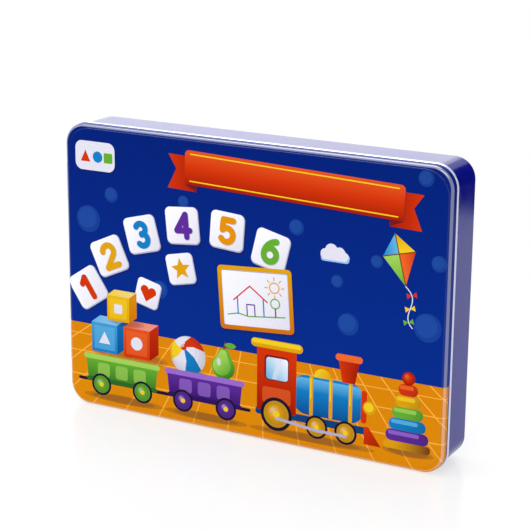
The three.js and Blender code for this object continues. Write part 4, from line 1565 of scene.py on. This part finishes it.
def marker_pen(white, blue, reservoir, nib):
    """Barrel, end plug, reservoir, nib and cap, turned about the pen's axis."""
    low, high = case_box("pen_barrel")
    axis = (low.x, (low.y + high.y) / 2, (low.z + high.z) / 2)
    for name, profile, slots, materials, body, node, slot in (
        ("barrel_skin", BARREL_PROFILE, BARREL_SLOTS, (white, blue), "pen", "pen_barrel", "pen_white"),
        ("plug_skin", PLUG_PROFILE, 0, (blue,), "pen", "pen_end_plug", "pen_blue"),
        ("reservoir_fibre", RESERVOIR_PROFILE, 0, (reservoir,), "pen", "pen_reservoir", "reservoir_felt"),
        ("nib_fibre", NIB_PROFILE, 0, (nib,), "pen", "pen_nib", "nib_felt"),
        ("cap_skin", CAP_PROFILE, 0, (blue,), "pen_cap", "pen_cap", "pen_blue"),
    ):
        skin = Skin()
        skin.turned(axis, profile, slots)
        if node == "pen_cap":
            add_clip(skin, axis)
        fit(skin.build(name, *materials), body, node)


def cut_out(thing, tools):
    """Takes tools out of a piece, and smooths all but its sharp edges."""
    for tool in tools:
        cut = thing.modifiers.new("cut", "BOOLEAN")
        cut.operation, cut.solver, cut.object = "DIFFERENCE", "EXACT", tool
    graph = bpy.context.evaluated_depsgraph_get()
    mesh = bpy.data.meshes.new_from_object(thing.evaluated_get(graph))
    thing.modifiers.clear()
    thing.data = mesh
    mesh.set_sharp_from_angle(angle=math.radians(SHARP_EDGE))
    for tool in tools:
        bpy.data.objects.remove(tool)


def eraser_handle(material):
    """A rounded block with a groove along each side for the fingers."""
    centre, size, depth = seen_from_front("eraser_handle")
    skin = Skin()
    skin.block(centre, size, ERASER_CORNER, depth, HANDLE_EDGES, HANDLE_STEPS)
    handle = skin.build("handle_skin", material)
    middle = sum(depth) / 2
    groove = (middle - GRIP_HALF, middle + GRIP_HALF)
    tools = []
    for side in (-1, 1):
        tool = Skin()
        place = (centre[0], centre[1] + side * size[1] / 2)
        tool.block(place, GRIP_SIZE, GRIP_CORNER, groove, GRIP_EDGES, GRIP_STEPS)
        tools.append(tool.build("grip", material))
    cut_out(handle, tools)
    fit(handle, "eraser", "eraser_handle")


def eraser_pad(fibre):
    """Three layers of felt, with a groove where two of them meet."""
    centre, size, (front, back) = seen_from_front("eraser_felt")
    section = [(FELT_EDGE, front), (0, front + FELT_EDGE)]
    for share in (1 / 3, 2 / 3):
        y = front + share * (back - front)
        section += [(0, y - FELT_EDGE), (FELT_EDGE, y - FELT_FOLD)]
        section += [(FELT_EDGE, y + FELT_FOLD), (0, y + FELT_EDGE)]
    section += [(inset, back - drop) for inset, drop in FELT_BACK]
    skin = Skin()
    skin.shell(box_rim(centre, *size, FELT_CORNER, FELT_STEPS), section, centre)
    fit(skin.build("felt_pad", fibre), "eraser", "eraser_felt")


# The whole part
LETTER_COLOURS = (RED, AQUA, YELLOW_DEEP, GREEN, PURPLE, ORANGE)

tin, lacquer, metal = printed_tin(), lacquered_tin(), bright_tin()
fit(lid_skin(tin, metal), "lid", "lid_tin")
fit(base_skin(lacquer, metal), "case", "base_tin")
for pin in ("hinge_pin_upper", "hinge_pin_lower"):
    hinge_pin(pin, "case", metal)
pen_white, pen_blue = plastic("pen_white", WHITE), plastic("pen_blue", AQUA_DEEP)
writing_board(plastic("board_gloss", (0.86, 0.87, 0.9), 0.12), plastic("board_line", AQUA, 0.2))
tray(plastic("tray_plastic", (0.8, 0.82, 0.87), 0.42, 0.03))
tile_face = printed_face("tile_face", 0.36)
for index, letter in enumerate(LETTERS):
    letter_tile(letter, LETTER_COLOURS[index % len(LETTER_COLOURS)], tile_face)
card_face = printed_face("card_face", 0.5)
for number, picture in enumerate(CARD_PICTURES, 1):
    picture_card(number, picture, card_face)
reservoir_fibre, nib_fibre = felt("reservoir_fibre", (0.5, 0.5, 0.52)), felt("nib_fibre", (0.02, 0.06, 0.3))
marker_pen(pen_white, pen_blue, reservoir_fibre, nib_fibre)
eraser_handle(plastic("handle_plastic", ORANGE_DEEP, 0.28))
eraser_pad(felt("pad_fibre", (0.045, 0.05, 0.065)))


# Camera, in case millimetres and degrees; its clip is in metres
CAMERA_YAW = 28.376
CAMERA_PITCH = 15.677
CAMERA_ROLL = 0.513
CAMERA_DISTANCE = 1056.4
CAMERA_TARGET = (12.54, 0, 115.23)
CAMERA_LENS = 116.48
CAMERA_CLIP = (0.05, 20)
SENSOR = 36

# Surroundings, in metres; the floor is plain white from FLOOR_WHITE on, FLOOR_PALE of it near the case
WORLD_LIGHT = 0.55
FLOOR_SIZE = 24
FLOOR_PALE = 0.66
FLOOR_LIT = 0.15
FLOOR_WHITE = 0.4
SHEEN = (0.84, 0.92, 1.3)
ROOF_SHEEN = (1, 0.99, 0.99)
CASE_HEART = (0, 0, 0.1)


def make_camera():
    data = bpy.data.cameras.new("camera")
    data.sensor_width = SENSOR
    data.lens = CAMERA_LENS
    data.clip_start, data.clip_end = CAMERA_CLIP
    yaw, pitch, roll = [math.radians(v) for v in (CAMERA_YAW, CAMERA_PITCH, CAMERA_ROLL)]
    back = Vector((math.sin(yaw) * math.cos(pitch), -math.cos(yaw) * math.cos(pitch), math.sin(pitch)))
    right = (-back).cross(Vector((0, 0, 1))).normalized()
    up = right.cross(-back)
    turned_right = right * math.cos(roll) + up * math.sin(roll)
    turned_up = up * math.cos(roll) - right * math.sin(roll)
    axes = Matrix((turned_right, turned_up, back)).transposed()
    place = case_point(*CAMERA_TARGET) + back * CAMERA_DISTANCE * MM
    camera = linked("camera", data)
    camera.matrix_world = Matrix.Translation(place) @ axes.to_4x4()
    bpy.context.scene.camera = camera


def facing(place, aim):
    """Where a thing stands whose front looks from a place at a point."""
    away = Vector(place) - Vector(aim)
    return Matrix.Translation(place) @ away.to_track_quat("Z", "Y").to_matrix().to_4x4()


def softbox(name, place, aim, width, height, strength, sheen=None):
    """A rectangular lamp with an even light; its strength is in watts per square metre.

    A sheen lamp has a colour of its own and shows in reflections only.
    """
    data = bpy.data.lights.new(name, "AREA")
    data.shape = "RECTANGLE"
    data.size, data.size_y = width, height
    data.energy = strength * width * height
    lamp = linked(name, data)
    lamp.matrix_world = facing(place, aim)
    if sheen:
        data.color = sheen
        lamp.visible_diffuse = False


def flat_board(name, width, height, material):
    mesh = bpy.data.meshes.new(name)
    corners = [(x * width / 2, y * height / 2, 0) for x, y in ((-1, -1), (1, -1), (1, 1), (-1, 1))]
    mesh.from_pydata(corners, [], [(0, 1, 2, 3)])
    mesh.materials.append(material)
    return linked(name, mesh)


def dark_flag(name, place, aim, width, height):
    """A black board that keeps the white surroundings out of a reflection, and shows in nothing else."""
    finish = Finish(name, Roughness=1, Specular_IOR_Level=0)
    finish.set("Base Color", finish.ramp(finish.noise(200, 1), (0.004, 0.004, 0.005), (0.01, 0.01, 0.012)))
    flag = flat_board(name, width, height, finish.material)
    flag.matrix_world = facing(place, aim)
    flag.visible_camera = flag.visible_diffuse = flag.visible_shadow = flag.visible_transmission = False


def worked_out(tree, operation, first, second):
    node = add_node(tree, "Math", first, second)
    node.operation = operation
    return node.outputs[0]


def seen_directly(tree):
    """1 for what the camera sees, straight or in a mirror or through glass, and 0 for soft light."""
    rays = add_node(tree, "LightPath").outputs
    mirrored = worked_out(tree, "MAXIMUM", rays["Is Camera Ray"], rays["Is Glossy Ray"])
    return worked_out(tree, "MAXIMUM", mirrored, rays["Is Transmission Ray"])


def make_world():
    """A white world, whose soft light is weaker than it looks."""
    world = bpy.data.worlds.new("studio")
    world.use_nodes = True
    tree = world.node_tree
    strength = add_node(tree, "MapRange", seen_directly(tree), To_Min=WORLD_LIGHT, To_Max=1)
    background = tree.nodes["Background"]
    background.inputs["Color"].default_value = (1, 1, 1, 1)
    tree.links.new(strength.outputs["Result"], background.inputs["Strength"])
    bpy.context.scene.world = world


def make_floor():
    """A white floor: near the case it takes its shadow, and further out it is plain white."""
    finish = Finish("studio_floor", Roughness=0.2, Specular_IOR_Level=0.35)
    finish.set("Base Color", finish.ramp(finish.noise(400, 1), (0.95, 0.95, 0.955), (0.96, 0.96, 0.965)))
    reach = finish.add("VectorMath", finish.space)
    reach.operation = "LENGTH"
    pale = finish.spread(reach.outputs["Value"], FLOOR_PALE, 1, FLOOR_LIT, FLOOR_WHITE)
    share = worked_out(finish.tree, "MULTIPLY", pale, seen_directly(finish.tree))
    white = finish.add("Emission")
    blend = finish.add("MixShader", share, finish.shader.outputs["BSDF"], white.outputs["Emission"])
    surface = finish.tree.nodes["Material Output"].inputs["Surface"]
    finish.tree.links.new(blend.outputs["Shader"], surface)
    floor = flat_board("floor", FLOOR_SIZE, FLOOR_SIZE, finish.material)


make_world()
make_floor()
softbox("key", (0.5, -1.6, 1.3), CASE_HEART, 1.4, 1.0, 9)
softbox("top", (-0.3, 0.1, 1.8), CASE_HEART, 1.8, 1.4, 7)
softbox("fill", (-1.6, -1.0, 0.8), CASE_HEART, 1.0, 1.0, 4)
softbox("shoulder_sheen", (-0.8, -0.55, 1.55), (-0.8, 0, 0.19), 1.4, 2.6, 2.6, SHEEN)
softbox("roof_sheen", (-0.95, 1.7, 0.72), (0, 0, 0.19), 1.6, 0.9, 3.4, ROOF_SHEEN)
dark_flag("corner_flag", (0.39, 0.5, 0.26), (0.39, 0, 0.26), 0.36, 0.46)
make_camera()
bpy.context.scene.view_settings.view_transform = "Standard"
